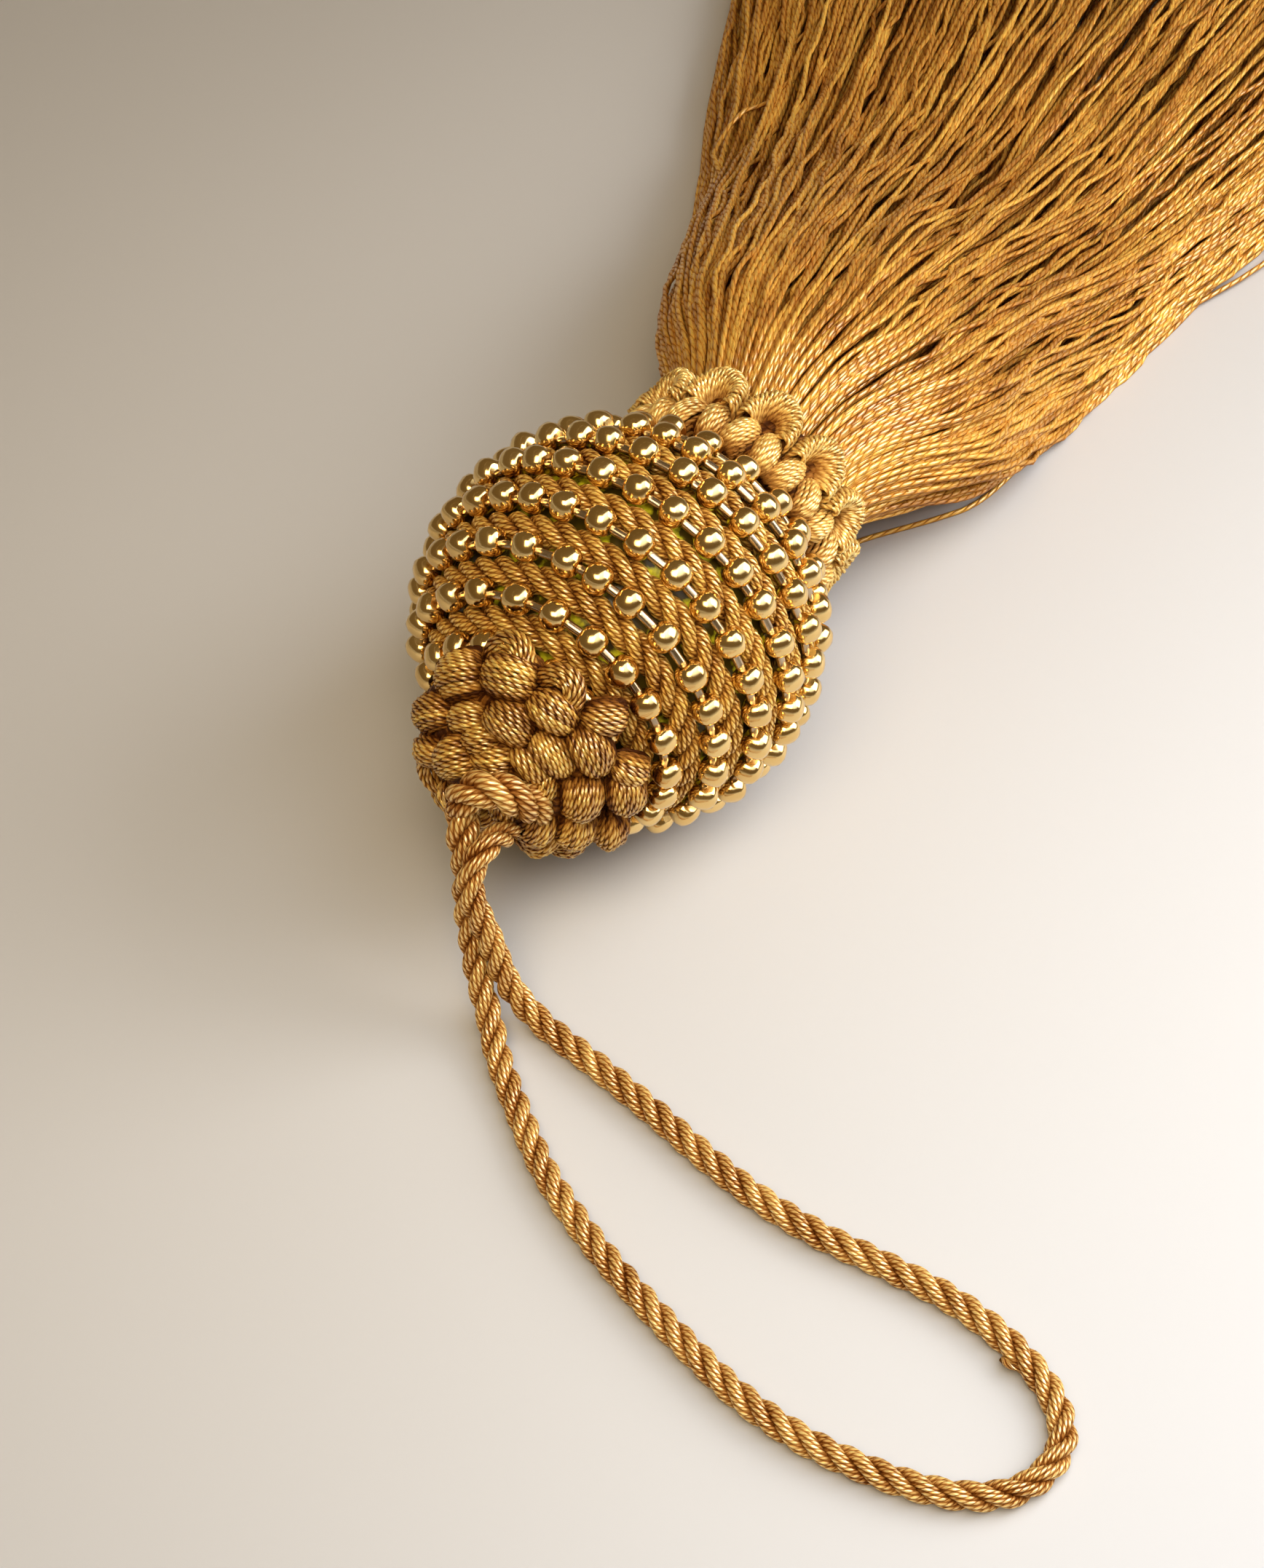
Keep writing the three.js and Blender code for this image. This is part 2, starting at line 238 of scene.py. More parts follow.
@dataclass
class StrandMesh:
    """Closed strands gathered as arrays and made into one mesh."""

    places: list[Array] = field(default_factory=list)
    corners: list[Array] = field(default_factory=list)
    counts: list[Array] = field(default_factory=list)
    maps: list[Array] = field(default_factory=list)
    tones: list[Array] = field(default_factory=list)
    crest_lights: list[Array] = field(default_factory=list)
    size: int = 0

    def add(self, centres: Array, across: Array, up: Array, radius: Array | float,
            section: Section, turns: Array | float, tone: Array | float,
            spin: Array | float = 0.0, bare: Array | float = 1.0, flank_shade: float = 0.0) -> None:
        """Add strands that have the same number of rings.

        Args:
            centres: Ring centres, strands by rings by 3.
            across: The section's first direction at each ring.
            up: The section's second direction at each ring.
            radius: Radius at each ring.
            section: The outline of all the strands.
            turns: Turns of twist run at each ring, for the twist map.
            tone: How light each strand is dyed, 0 to 1; some callers also lower it as painted shade
                and raise it as painted light.
            spin: Angle by which the outline has turned at each ring.
            bare: How far each ring lies open to the light, 0 to 1.
            flank_shade: How much painted shade darkens the sides that turn away from the first
                direction.
        """
        strands, rings = centres.shape[:2]
        sides = len(section.crest_lights)
        spin = np.broadcast_to(spin, (strands, rings))[..., None]
        reach = np.broadcast_to(radius, (strands, rings))[..., None, None]
        turns = np.broadcast_to(turns, (strands, rings))
        first, second = section.corners.T
        right = np.cos(spin) * first - np.sin(spin) * second
        rise = np.sin(spin) * first + np.cos(spin) * second
        swing = right[..., None] * across[:, :, None] + rise[..., None] * up[:, :, None]
        self.places.append((centres[:, :, None] + reach * swing).reshape(-1, 3))

        index = self.size + np.arange(strands * rings * sides).reshape(strands, rings, sides)
        beside = np.roll(index, -1, axis=2)
        walls = np.stack([index[:, :-1], beside[:, :-1], beside[:, 1:], index[:, 1:]], axis=-1)
        ends = np.stack([index[:, 0, ::-1], index[:, -1]], axis=1)
        self.corners += [walls.ravel(), ends.ravel()]
        self.counts += [np.full(walls.size // 4, 4), np.full(strands * 2, sides)]

        share = np.arange(sides) / sides
        wall_map = np.empty(walls.shape + (2,))
        wall_map[..., [0, 1], 0] = turns[:, :-1, None, None]
        wall_map[..., [2, 3], 0] = turns[:, 1:, None, None]
        wall_map[..., [0, 3], 1] = share[:, None]
        wall_map[..., [1, 2], 1] = share[:, None] + 1.0 / sides
        end_map = np.empty(ends.shape + (2,))
        end_map[..., 0] = turns[:, [0, -1], None]
        end_map[:, 0, :, 1] = share[::-1]
        end_map[:, 1, :, 1] = share
        self.maps += [wall_map.reshape(-1, 2), end_map.reshape(-1, 2)]

        self.tones.append(np.repeat(np.broadcast_to(tone, (strands,)), rings * sides))
        # Painted shade: grooves, flanks turned away from the first direction and rings that lie low
        # are darkened through the crest light attribute
        turned = 1.0 - eased(right, *FLANK_SHADE_SPAN)
        open_rings = np.broadcast_to(bare, (strands, rings))[..., None]
        crest_light = section.crest_lights * (1.0 - flank_shade * turned) * open_rings
        self.crest_lights.append(np.broadcast_to(crest_light, (strands, rings, sides)).ravel())
        self.size += strands * rings * sides

    def build(self, name: str) -> bpy.types.Object:
        """Make the gathered strands one object, pressed flat where they would pass the floor.

        Args:
            name: The piece's name.

        Returns:
            The object, in the scene.
        """
        places = np.concatenate(self.places)
        places[:, 2] = np.maximum(places[:, 2], 0.0)
        corners = np.concatenate(self.corners)
        counts = np.concatenate(self.counts)
        starts = np.concatenate([[0], np.cumsum(counts)[:-1]])
        mesh = bpy.data.meshes.new(name)
        mesh.vertices.add(len(places))
        mesh.vertices.foreach_set("co", places.astype(np.float32).ravel())
        mesh.loops.add(len(corners))
        mesh.loops.foreach_set("vertex_index", corners.astype(np.int32))
        mesh.polygons.add(len(counts))
        mesh.polygons.foreach_set("loop_start", starts.astype(np.int32))
        mesh.polygons.foreach_set("use_smooth", counts == 4)
        mesh.update(calc_edges=True)
        layer = mesh.uv_layers.new(name=TWIST_MAP)
        layer.data.foreach_set("uv", np.concatenate(self.maps).astype(np.float32).ravel())
        for label, values in ((TONE, self.tones), (CREST_LIGHT, self.crest_lights)):
            layer = mesh.attributes.new(label, "FLOAT", "POINT")
            layer.data.foreach_set("value", np.concatenate(values).astype(np.float32))
        mesh.validate()
        piece = bpy.data.objects.new(name, mesh)
        bpy.context.scene.collection.objects.link(piece)
        return piece


@dataclass(frozen=True)
class Rope:
    """A laid cord: plies turned about each other, each of yarns turned the other way."""

    diameter: float
    lay: float
    yarns: int = 7
    corners_each: int = 3
    plies: int = 3
    ply_share: float = 0.48
    groove: float = 0.78
    yarn_lay: float = 5.0 * MM
    back_twist: float = 0.9
    # Painted shade on the plies' sides that face the other plies
    flank_shade: float = 0.88

    def lay_up(self, mesh: StrandMesh, centres: Array, across: Array, up: Array, run: Array,
               tones: Array, swell: Array | float = 1.0) -> None:
        """Lay the plies along a line.

        Args:
            mesh: The mesh that takes them.
            centres: The cord's middle, a line of points.
            across: First section direction at each point.
            up: Second section direction at each point.
            run: Length run at each point, which sets how far the lay has turned.
            tones: A tone for each ply.
            swell: How much fatter than its size the cord is at each point.
        """
        swell = np.broadcast_to(swell, run.shape)
        ply_radius = self.ply_share * self.diameter / 2
        offset = self.diameter / 2 - ply_radius
        slope = 2 * np.pi * offset / self.lay
        back_twist = self.back_twist * slope * (1 + ply_radius / offset) / ply_radius
        section = Section.of_yarns(self.yarns, self.corners_each, self.groove)
        ply_run = run[None] * math.hypot(1.0, slope)
        for ply in range(self.plies):
            turn = 2 * np.pi * run / self.lay + 2 * np.pi * ply / self.plies
            outward = np.cos(turn)[:, None] * across + np.sin(turn)[:, None] * up
            middle = (centres + offset * swell[:, None] * outward)[None]
            ply_across, ply_up = facing_frames(middle, outward[None])
            mesh.add(middle, ply_across, ply_up, ply_radius * swell[None], section,
                     ply_run / self.yarn_lay, tones[ply], -back_twist * ply_run, flank_shade=self.flank_shade)


@dataclass
class NodeBench:
    """A node tree under work, with short ways to place and feed its nodes."""

    tree: bpy.types.NodeTree
    owner: bpy.types.Material | None = None

    @classmethod
    def material(cls, name: str) -> "NodeBench":
        """Start a new material's nodes.

        Args:
            name: The material's name.

        Returns:
            A bench on its nodes.
        """
        owner = bpy.data.materials.new(name)
        owner.use_nodes = True
        return cls(owner.node_tree, owner)

    @classmethod
    def effect(cls, name: str, inputs: dict[str, str], outputs: dict[str, str]) -> "NodeBench":
        """Start a shader node group with named sockets.

        Args:
            name: The group's name.
            inputs: Input names and their socket types.
            outputs: Output names and their socket types.

        Returns:
            A bench on the group, with its input and output nodes named Inputs and Outputs.
        """
        tree = bpy.data.node_groups.new(name, "ShaderNodeTree")
        for way, sockets in (("INPUT", inputs), ("OUTPUT", outputs)):
            for label, kind in sockets.items():
                tree.interface.new_socket(label, in_out=way, socket_type=kind)
        bench = cls(tree)
        bench.node("NodeGroupInput", name="Inputs")
        bench.node("NodeGroupOutput", name="Outputs")
        return bench

    @property
    def shader(self) -> bpy.types.Node:
        """The material's own surface shader."""
        return self.tree.nodes["Principled BSDF"]

    def node(self, kind: str, **settings: object) -> bpy.types.Node:
        """Place a node.

        Args:
            kind: The node's type.
            settings: Its properties.

        Returns:
            The node.
        """
        node = self.tree.nodes.new(kind)
        for label, value in settings.items():
            setattr(node, label, value)
        return node

    def feed(self, target: Socket, value: Socket | Colour | float) -> None:
        """Join an output to an input, or set the input's own value.

        Args:
            target: The input.
            value: Another node's output, a colour or a number.
        """
        if isinstance(value, Socket):
            self.tree.links.new(value, target)
        else:
            target.default_value = (*value, 1.0) if isinstance(value, tuple) else value

    def give(self, node: bpy.types.Node, values: dict[str, Socket | Colour | float]) -> None:
        """Feed several of a node's inputs by name."""
        for label, value in values.items():
            self.feed(node.inputs[label], value)

    def attribute(self, name: str) -> Socket:
        """Read a number that the mesh carries."""
        return self.node("ShaderNodeAttribute", attribute_name=name).outputs["Fac"]

    def place(self) -> Socket:
        """Read where a point lies on its piece."""
        return self.node("ShaderNodeTexCoord").outputs["Object"]

    def math(self, operation: str, *values: Socket | float, clamp: bool = False) -> Socket:
        """Work out a number.

        Args:
            operation: The math node's operation.
            values: Its inputs, numbers or outputs of other nodes.
            clamp: Whether the result is kept between 0 and 1.

        Returns:
            The result's socket.
        """
        node = self.node("ShaderNodeMath", operation=operation, use_clamp=clamp)
        for socket, value in zip(node.inputs, values):
            self.feed(socket, value)
        return node.outputs[0]

    def noise(self, vector: Socket, scale: float, detail: float) -> Socket:
        """Place a noise texture.

        Args:
            vector: Where it is read.
            scale: Its scale.
            detail: Its finer octaves.

        Returns:
            The socket of its values.
        """
        node = self.node("ShaderNodeTexNoise")
        self.give(node, {"Vector": vector, "Scale": scale, "Detail": detail})
        return node.outputs["Fac"]

    def mix(self, share: Socket, first: Socket | Colour, second: Socket | Colour) -> Socket:
        """Mix two colours.

        Args:
            share: How much of the second is taken.
            first: The first colour.
            second: The second colour.

        Returns:
            The mixed colour's socket.
        """
        node = self.node("ShaderNodeMix", data_type="RGBA")
        for place, value in zip(MIX_INPUTS, (share, first, second)):
            self.feed(node.inputs[place], value)
        return node.outputs[MIX_RESULT]

    def emboss(self, height: Socket, distance: float, strength: float) -> None:
        """Give the material's shader a relief.

        Args:
            height: The relief's height.
            distance: How far it stands out.
            strength: How much of it shows.
        """
        bump = self.node("ShaderNodeBump")
        self.give(bump, {"Height": height, "Distance": distance, "Strength": strength})
        self.give(self.shader, {"Normal": bump.outputs["Normal"]})


@dataclass(frozen=True)
class DyedThread:
    """The shared effect for twisted thread: its dye with painted shade in its grooves and a painted
    half-shaded colour, its plies' relief and its gloss.
    """

    name: str = "dyed_thread"
    ridge_power: float = 0.6
    fibres_each: float = 5.0
    fibre_stretch: float = 0.7
    fibre_shift: float = 91.0
    cloud_scale: float = 260.0
    detail: float = 3.0
    least_light: float = 0.25
    tone_light: float = 0.6
    cloud_light: float = 0.6
    fibre_light: float = 0.6
    fibre_relief: float = 0.25
    least_dull: float = 0.16
    groove_dull: float = 0.4
    fibre_dull: float = 0.25
    coat_gain: float = 1.8

    def group(self) -> bpy.types.NodeTree:
        """Make the effect's node group.

        Returns:
            The group, made on the first call.
        """
        if self.name in bpy.data.node_groups:
            return bpy.data.node_groups[self.name]
        colour, number = "NodeSocketColor", "NodeSocketFloat"
        bench = NodeBench.effect(
            self.name,
            {"Shaded": colour, "Half Shaded": colour, "Lit": colour, "Plies": number,
             "Groove Shade": number, "Lustre": number, "Shine": number},
            {"Color": colour, "Height": number, "Roughness": number, "Metallic": number,
             "Coat": number})
        given = bench.tree.nodes["Inputs"].outputs
        twist = bench.node("ShaderNodeSeparateXYZ")
        bench.give(twist, {"Vector": bench.node("ShaderNodeUVMap", uv_map=TWIST_MAP).outputs["UV"]})
        tone, crest_light = bench.attribute(TONE), bench.attribute(CREST_LIGHT)

        wound = bench.math("ADD", twist.outputs["X"], twist.outputs["Y"])
        phase = bench.math("MULTIPLY", wound, given["Plies"])
        swell = bench.math("ABSOLUTE", bench.math("SINE", bench.math("MULTIPLY", phase, math.pi)))
        ridge = bench.math("POWER", swell, self.ridge_power)
        fibre_place = bench.node("ShaderNodeCombineXYZ")
        bench.give(fibre_place, {
            "X": bench.math("MULTIPLY", phase, self.fibres_each),
            "Y": bench.math("MULTIPLY", twist.outputs["X"], self.fibre_stretch),
            "Z": bench.math("MULTIPLY", tone, self.fibre_shift)})
        fibre = bench.noise(fibre_place.outputs["Vector"], 1.0, self.detail)
        cloud = bench.noise(bench.place(), self.cloud_scale, self.detail)

        # Painted shade: where the crest light attribute and the twist ridges are low, the colour
        # darkens through the half-shaded colour to the shaded one
        bare = bench.math("MULTIPLY", ridge, crest_light)
        groove = bench.math("SUBTRACT", 1.0, bare)
        dyed = bench.math("MULTIPLY_ADD", tone, self.tone_light, self.least_light)
        light = bench.math("ADD", dyed, bench.math("MULTIPLY", cloud, self.cloud_light))
        fleck = bench.math("MULTIPLY", bench.math("SUBTRACT", fibre, 0.5), self.fibre_light)
        shade = bench.math("MULTIPLY", groove, given["Groove Shade"])
        light = bench.math("SUBTRACT", bench.math("ADD", light, fleck), shade, clamp=True)
        half_shaded_to_lit = bench.mix(light, given["Half Shaded"], given["Lit"])
        dull = bench.math("MULTIPLY_ADD", groove, self.groove_dull, self.least_dull)
        top = bench.math("MULTIPLY_ADD", bare, self.coat_gain, 1.0 - self.coat_gain, clamp=True)
        bench.give(bench.tree.nodes["Outputs"], {
            "Color": bench.mix(light, given["Shaded"], half_shaded_to_lit),
            "Height": bench.math("ADD", ridge, bench.math("MULTIPLY", fibre, self.fibre_relief)),
            "Roughness": bench.math("MULTIPLY_ADD", fibre, self.fibre_dull, dull),
            "Metallic": bench.math("MULTIPLY", bare, given["Lustre"]),
            "Coat": bench.math("MULTIPLY", top, given["Shine"])})
        return bench.tree


@dataclass(frozen=True)
class HandledPlate:
    """The shared effect for plated metal: its tint, smudges and tiny dents."""

    name: str = "handled_plate"
    smudge_scale: float = 700.0
    smudge_detail: float = 3.0
    dent_scale: float = 420.0
    dent_detail: float = 1.0
    smudge_share: float = 0.5
    tone_share: float = 0.5

    def group(self) -> bpy.types.NodeTree:
        """Make the effect's node group.

        Returns:
            The group, made on the first call.
        """
        if self.name in bpy.data.node_groups:
            return bpy.data.node_groups[self.name]
        colour, number = "NodeSocketColor", "NodeSocketFloat"
        bench = NodeBench.effect(
            self.name, {"Bright": colour, "Dull": colour, "Smooth": number, "Smudged": number},
            {"Color": colour, "Height": number, "Roughness": number})
        given = bench.tree.nodes["Inputs"].outputs
        place = bench.place()
        smudge = bench.noise(place, self.smudge_scale, self.smudge_detail)
        toned = bench.math("MULTIPLY", bench.attribute(TONE), self.tone_share)
        share = bench.math("MULTIPLY_ADD", smudge, self.smudge_share, toned)
        span = bench.math("SUBTRACT", given["Smudged"], given["Smooth"])
        spread = bench.math("MULTIPLY", smudge, span)
        bench.give(bench.tree.nodes["Outputs"], {
            "Color": bench.mix(share, given["Bright"], given["Dull"]),
            "Height": bench.noise(place, self.dent_scale, self.dent_detail),
            "Roughness": bench.math("ADD", spread, given["Smooth"])})
        return bench.tree


@dataclass(frozen=True)
class ThreadFinish:
    """Dyed, glossy twisted thread, with shade painted into its grooves and creases."""

    name: str
    deep: Colour
    lit: Colour
    plies: float
    groove_shade: float
    relief: float
    # Half-shaded colour: painted light bounced between threads
    half_shade: Colour = (0.85, 0.25, 0.02)
    lustre: float = 0.5
    shine: float = 0.9
    gloss_tint: Colour = (1.0, 0.86, 0.5)
    gloss: float = 0.15
    coat_ior: float = 2.4
    coat_roughness: float = 0.27

    def material(self) -> bpy.types.Material:
        """Make the thread's material.

        Returns:
            The material.
        """
        bench = NodeBench.material(self.name)
        dye = bench.node("ShaderNodeGroup", node_tree=DyedThread().group())
        bench.give(dye, {
            "Shaded": self.deep, "Half Shaded": self.half_shade, "Lit": self.lit, "Plies": self.plies,
            "Groove Shade": self.groove_shade, "Lustre": self.lustre, "Shine": self.shine})
        bench.give(bench.shader, {
            "Base Color": dye.outputs["Color"], "Roughness": dye.outputs["Roughness"],
            "Metallic": dye.outputs["Metallic"], "Coat Weight": dye.outputs["Coat"],
            "Specular Tint": self.gloss_tint, "Specular IOR Level": self.gloss,
            "Coat IOR": self.coat_ior, "Coat Roughness": self.coat_roughness})
        bench.emboss(dye.outputs["Height"], self.relief, 1.0)
        return bench.owner


@dataclass(frozen=True)
class MetalFinish:
    """Polished plated metal with the faint marks of handling."""

    name: str
    bright: Colour
    dull: Colour
    smooth: float
    smudged: float
    dent: float = 0.03 * MM
    dent_strength: float = 0.5

    def material(self) -> bpy.types.Material:
        """Make the metal's material.

        Returns:
            The material.
        """
        bench = NodeBench.material(self.name)
        plate = bench.node("ShaderNodeGroup", node_tree=HandledPlate().group())
        bench.give(plate, {"Bright": self.bright, "Dull": self.dull, "Smooth": self.smooth,
                           "Smudged": self.smudged})
        bench.give(bench.shader, {
            "Base Color": plate.outputs["Color"], "Roughness": plate.outputs["Roughness"],
            "Metallic": 1.0})
        bench.emboss(plate.outputs["Height"], self.dent, self.dent_strength)
        return bench.owner


@dataclass(frozen=True)
class GlossFinish:
    """A glossy coat over a colour that runs between two tones."""

    name: str
    deep: Colour
    lit: Colour
    scale: float
    roughness: float
    coat: float
    relief: float
    contrast: float = 1.0
    hold: float = 0.0
    gloss: float = 0.5
    detail: float = 4.0
    relief_strength: float = 0.6
    coat_roughness: float = 0.08

    def material(self) -> bpy.types.Material:
        """Make the coated material.

        Returns:
            The material.
        """
        bench = NodeBench.material(self.name)
        cloud = bench.noise(bench.place(), self.scale, self.detail)
        share = bench.math("MULTIPLY_ADD", cloud, self.contrast, -self.hold, clamp=True)
        bench.give(bench.shader, {
            "Base Color": bench.mix(share, self.deep, self.lit), "Roughness": self.roughness,
            "Specular IOR Level": self.gloss, "Coat Weight": self.coat,
            "Coat Roughness": self.coat_roughness})
        bench.emboss(cloud, self.relief, self.relief_strength)
        return bench.owner


# Thread colours run from a painted shade colour through a half-shaded one to the lit colour
SHADED_GOLD = (0.04, 0.008, 0.0006)
LIT_GOLD = (1.0, 0.7, 0.15)
CROWN_RAYON = ThreadFinish("gold_rayon_crown", SHADED_GOLD, LIT_GOLD, 2.0, 0.9, 0.04 * MM)
# The collar's yarn is the crown's, painted lighter with a paler lit colour and less groove shade,
# as it faces the lamps
LIT_COLLAR_RAYON = ThreadFinish("gold_rayon_collar_painted_lit", SHADED_GOLD, (1.0, 0.71, 0.2), 2.0, 0.84, 0.04 * MM)
CORD_RAYON = ThreadFinish("gold_rayon_cord", SHADED_GOLD, LIT_GOLD, 7.0, 0.9, 0.06 * MM)
LOOP_RAYON = ThreadFinish("gold_rayon_loop", (0.09, 0.02, 0.001), (1.0, 0.74, 0.24),
                          7.0, 0.9, 0.06 * MM)
SKIRT_RAYON = ThreadFinish("gold_rayon_skirt", (0.15, 0.045, 0.005), (0.91, 0.54, 0.09),
                           2.0, 0.62, 0.14 * MM)
BEAD_PLATE = MetalFinish("pale_gold_beads", (0.92, 0.67, 0.29), (0.74, 0.48, 0.17), 0.08, 0.24)
LINK_PLATE = MetalFinish("pale_links", (0.62, 0.49, 0.34), (0.4, 0.29, 0.17), 0.12, 0.35)
# The core's own yellow-green paint, mostly darkened with sparse bright patches: painted shade in
# the gaps between the cords, and painted glints
CORE_PAINT_SHADE_GLINTS = GlossFinish("gold_core_paint_shade_glints", (0.07, 0.045, 0.004), (0.95, 0.88, 0.03), scale=380.0,
                         roughness=0.3, coat=0.06, relief=0.05 * MM, contrast=8.0, hold=4.1,
                         gloss=0.15)
FLOOR_PAINT = GlossFinish("pale_floor", (0.47, 0.462, 0.45), (0.49, 0.482, 0.47), scale=6.0,
                          roughness=0.6, coat=0.0, relief=0.0)


def finish_piece(piece: bpy.types.Object, material: bpy.types.Material, slot: str,
                 *nodes: str) -> bpy.types.Object:
    """Give a piece its material and its place in the object.

    Args:
        piece: The piece.
        material: Its material.
        slot: The record's material slot; not used.
        nodes: The solids that it stands for.

    Returns:
        The piece.
    """
    piece.data.materials.append(material)
    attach(piece, BODY)
    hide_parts(*nodes)
    LOG.info("%s: %d faces", piece.name, len(piece.data.polygons))
    return piece


@dataclass(frozen=True)
class Panel:
    """A soft studio panel: its place, aim, size, the angle its light fans out in and its light."""

    name: str
    place: Point
    aim: Point
    size: Span
    spread: float
    power: float
    tint: Colour

    def hang(self) -> None:
        """Hang the panel, level across and facing its aim."""
        data = bpy.data.lights.new(self.name, "AREA")
        data.shape = "RECTANGLE"
        data.size, data.size_y = self.size
        data.energy = self.power
        data.color = self.tint
        data.spread = math.radians(self.spread)
        light = bpy.data.objects.new(self.name, data)
        back = unit(np.array(self.place) - np.array(self.aim))
        across = unit(np.cross(UP, back))
        turn = np.stack([across, np.cross(back, across), back], axis=1)
        light.location = self.place
        light.rotation_euler = Matrix(turn.tolist()).to_euler()
        light.visible_camera = False
        bpy.context.scene.collection.objects.link(light)


@dataclass(frozen=True)
class FarRing:
    """Wide panels all round the room, which keep the far floor pale."""

    count: int = 8
    distance: float = 1.85
    aim_distance: float = 1.9
    height: float = 0.9
    size: Span = (1.45, 2.8)
    spread: float = 70.0
    power: float = 9.0
    tint: Colour = (1.0, 0.95, 0.88)

    def panels(self) -> list[Panel]:
        """Set out the panels.

        Returns:
            The panels.
        """
        panels = []
        for number in range(self.count):
            angle = 2 * math.pi * number / self.count
            x, y = math.cos(angle), math.sin(angle)
            place = (self.distance * x, self.distance * y, self.height)
            aim = (self.aim_distance * x, self.aim_distance * y, 0.0)
            panels.append(Panel(f"far_{number}", place, aim, self.size, self.spread, self.power,
                                self.tint))
        return panels


@dataclass
class Studio:
    """The camera, a pale floor and soft lights."""

    camera_place: Point = (-0.1919, -0.1250, 0.2624)
    camera_turn: Span = (49.36, -57.27)
    lens: float = 70.98
    sensor: float = 36.0
    near: float = 0.01
    floor_side: float = 7.0
    panels: tuple[Panel, ...] = (
        Panel("key", (0.042, -0.202, 0.211), (0.01, -0.2, 0.0), (0.3, 0.4), 120.0, 0.734,
              (0.8, 0.88, 1.0)),
        Panel("side", (0.219, -0.237, 0.201), (0.03, 0.0, 0.0), (0.25, 0.25), 100.0, 0.4,
              (0.93, 0.9, 0.88)),
        Panel("fill", (-0.207, -0.087, 0.39), (0.0, 0.0, 0.0), (0.25, 0.25), 60.0, 0.221,
              (0.96, 0.78, 0.53)))
    far: FarRing = FarRing()
    low_room: Colour = (0.12, 0.084, 0.043)
    high_room: Colour = (0.18, 0.126, 0.064)
    horizon: Colour = (0.36, 0.33, 0.29)
    horizon_band: float = 8.0

    def set_camera(self) -> None:
        """Place the camera at the photograph's viewing angle."""
        data = bpy.data.cameras.new("camera")
        data.lens = self.lens
        data.sensor_width = self.sensor
        data.clip_start = self.near
        camera = bpy.data.objects.new("camera", data)
        camera.location = self.camera_place
        down, around = self.camera_turn
        camera.rotation_euler = (math.radians(90.0 - down), 0.0, math.radians(around))
        bpy.context.scene.collection.objects.link(camera)
        bpy.context.scene.camera = camera

    def lay_floor(self) -> None:
        """Lay the floor that the tassel rests on."""
        half = self.floor_side / 2
        corners = [(-half, -half, 0), (half, -half, 0), (half, half, 0), (-half, half, 0)]
        mesh = bpy.data.meshes.new("floor")
        mesh.from_pydata(corners, [], [(0, 1, 2, 3)])
        floor = bpy.data.objects.new("floor", mesh)
        bpy.context.scene.collection.objects.link(floor)
        mesh.materials.append(FLOOR_PAINT.material())

    def light_room(self) -> None:
        """Hang the panels in a dim warm room with a pale horizon."""
        for panel in [*self.panels, *self.far.panels()]:
            panel.hang()
        world = bpy.data.worlds.new("dim_room")
        world.use_nodes = True
        bench = NodeBench(world.node_tree)
        way = bench.node("ShaderNodeSeparateXYZ")
        bench.give(way, {"Vector": bench.node("ShaderNodeTexCoord").outputs["Generated"]})
        rise = way.outputs["Z"]
        share = bench.math("MULTIPLY_ADD", rise, 0.5, 0.5, clamp=True)
        room = bench.mix(share, self.low_room, self.high_room)
        level = bench.math("MULTIPLY_ADD", bench.math("ABSOLUTE", rise), -self.horizon_band, 1.0,
                           clamp=True)
        bench.give(world.node_tree.nodes["Background"],
                   {"Color": bench.mix(level, room, self.horizon)})
        bpy.context.scene.world = world
        bpy.context.scene.view_settings.view_transform = "Standard"


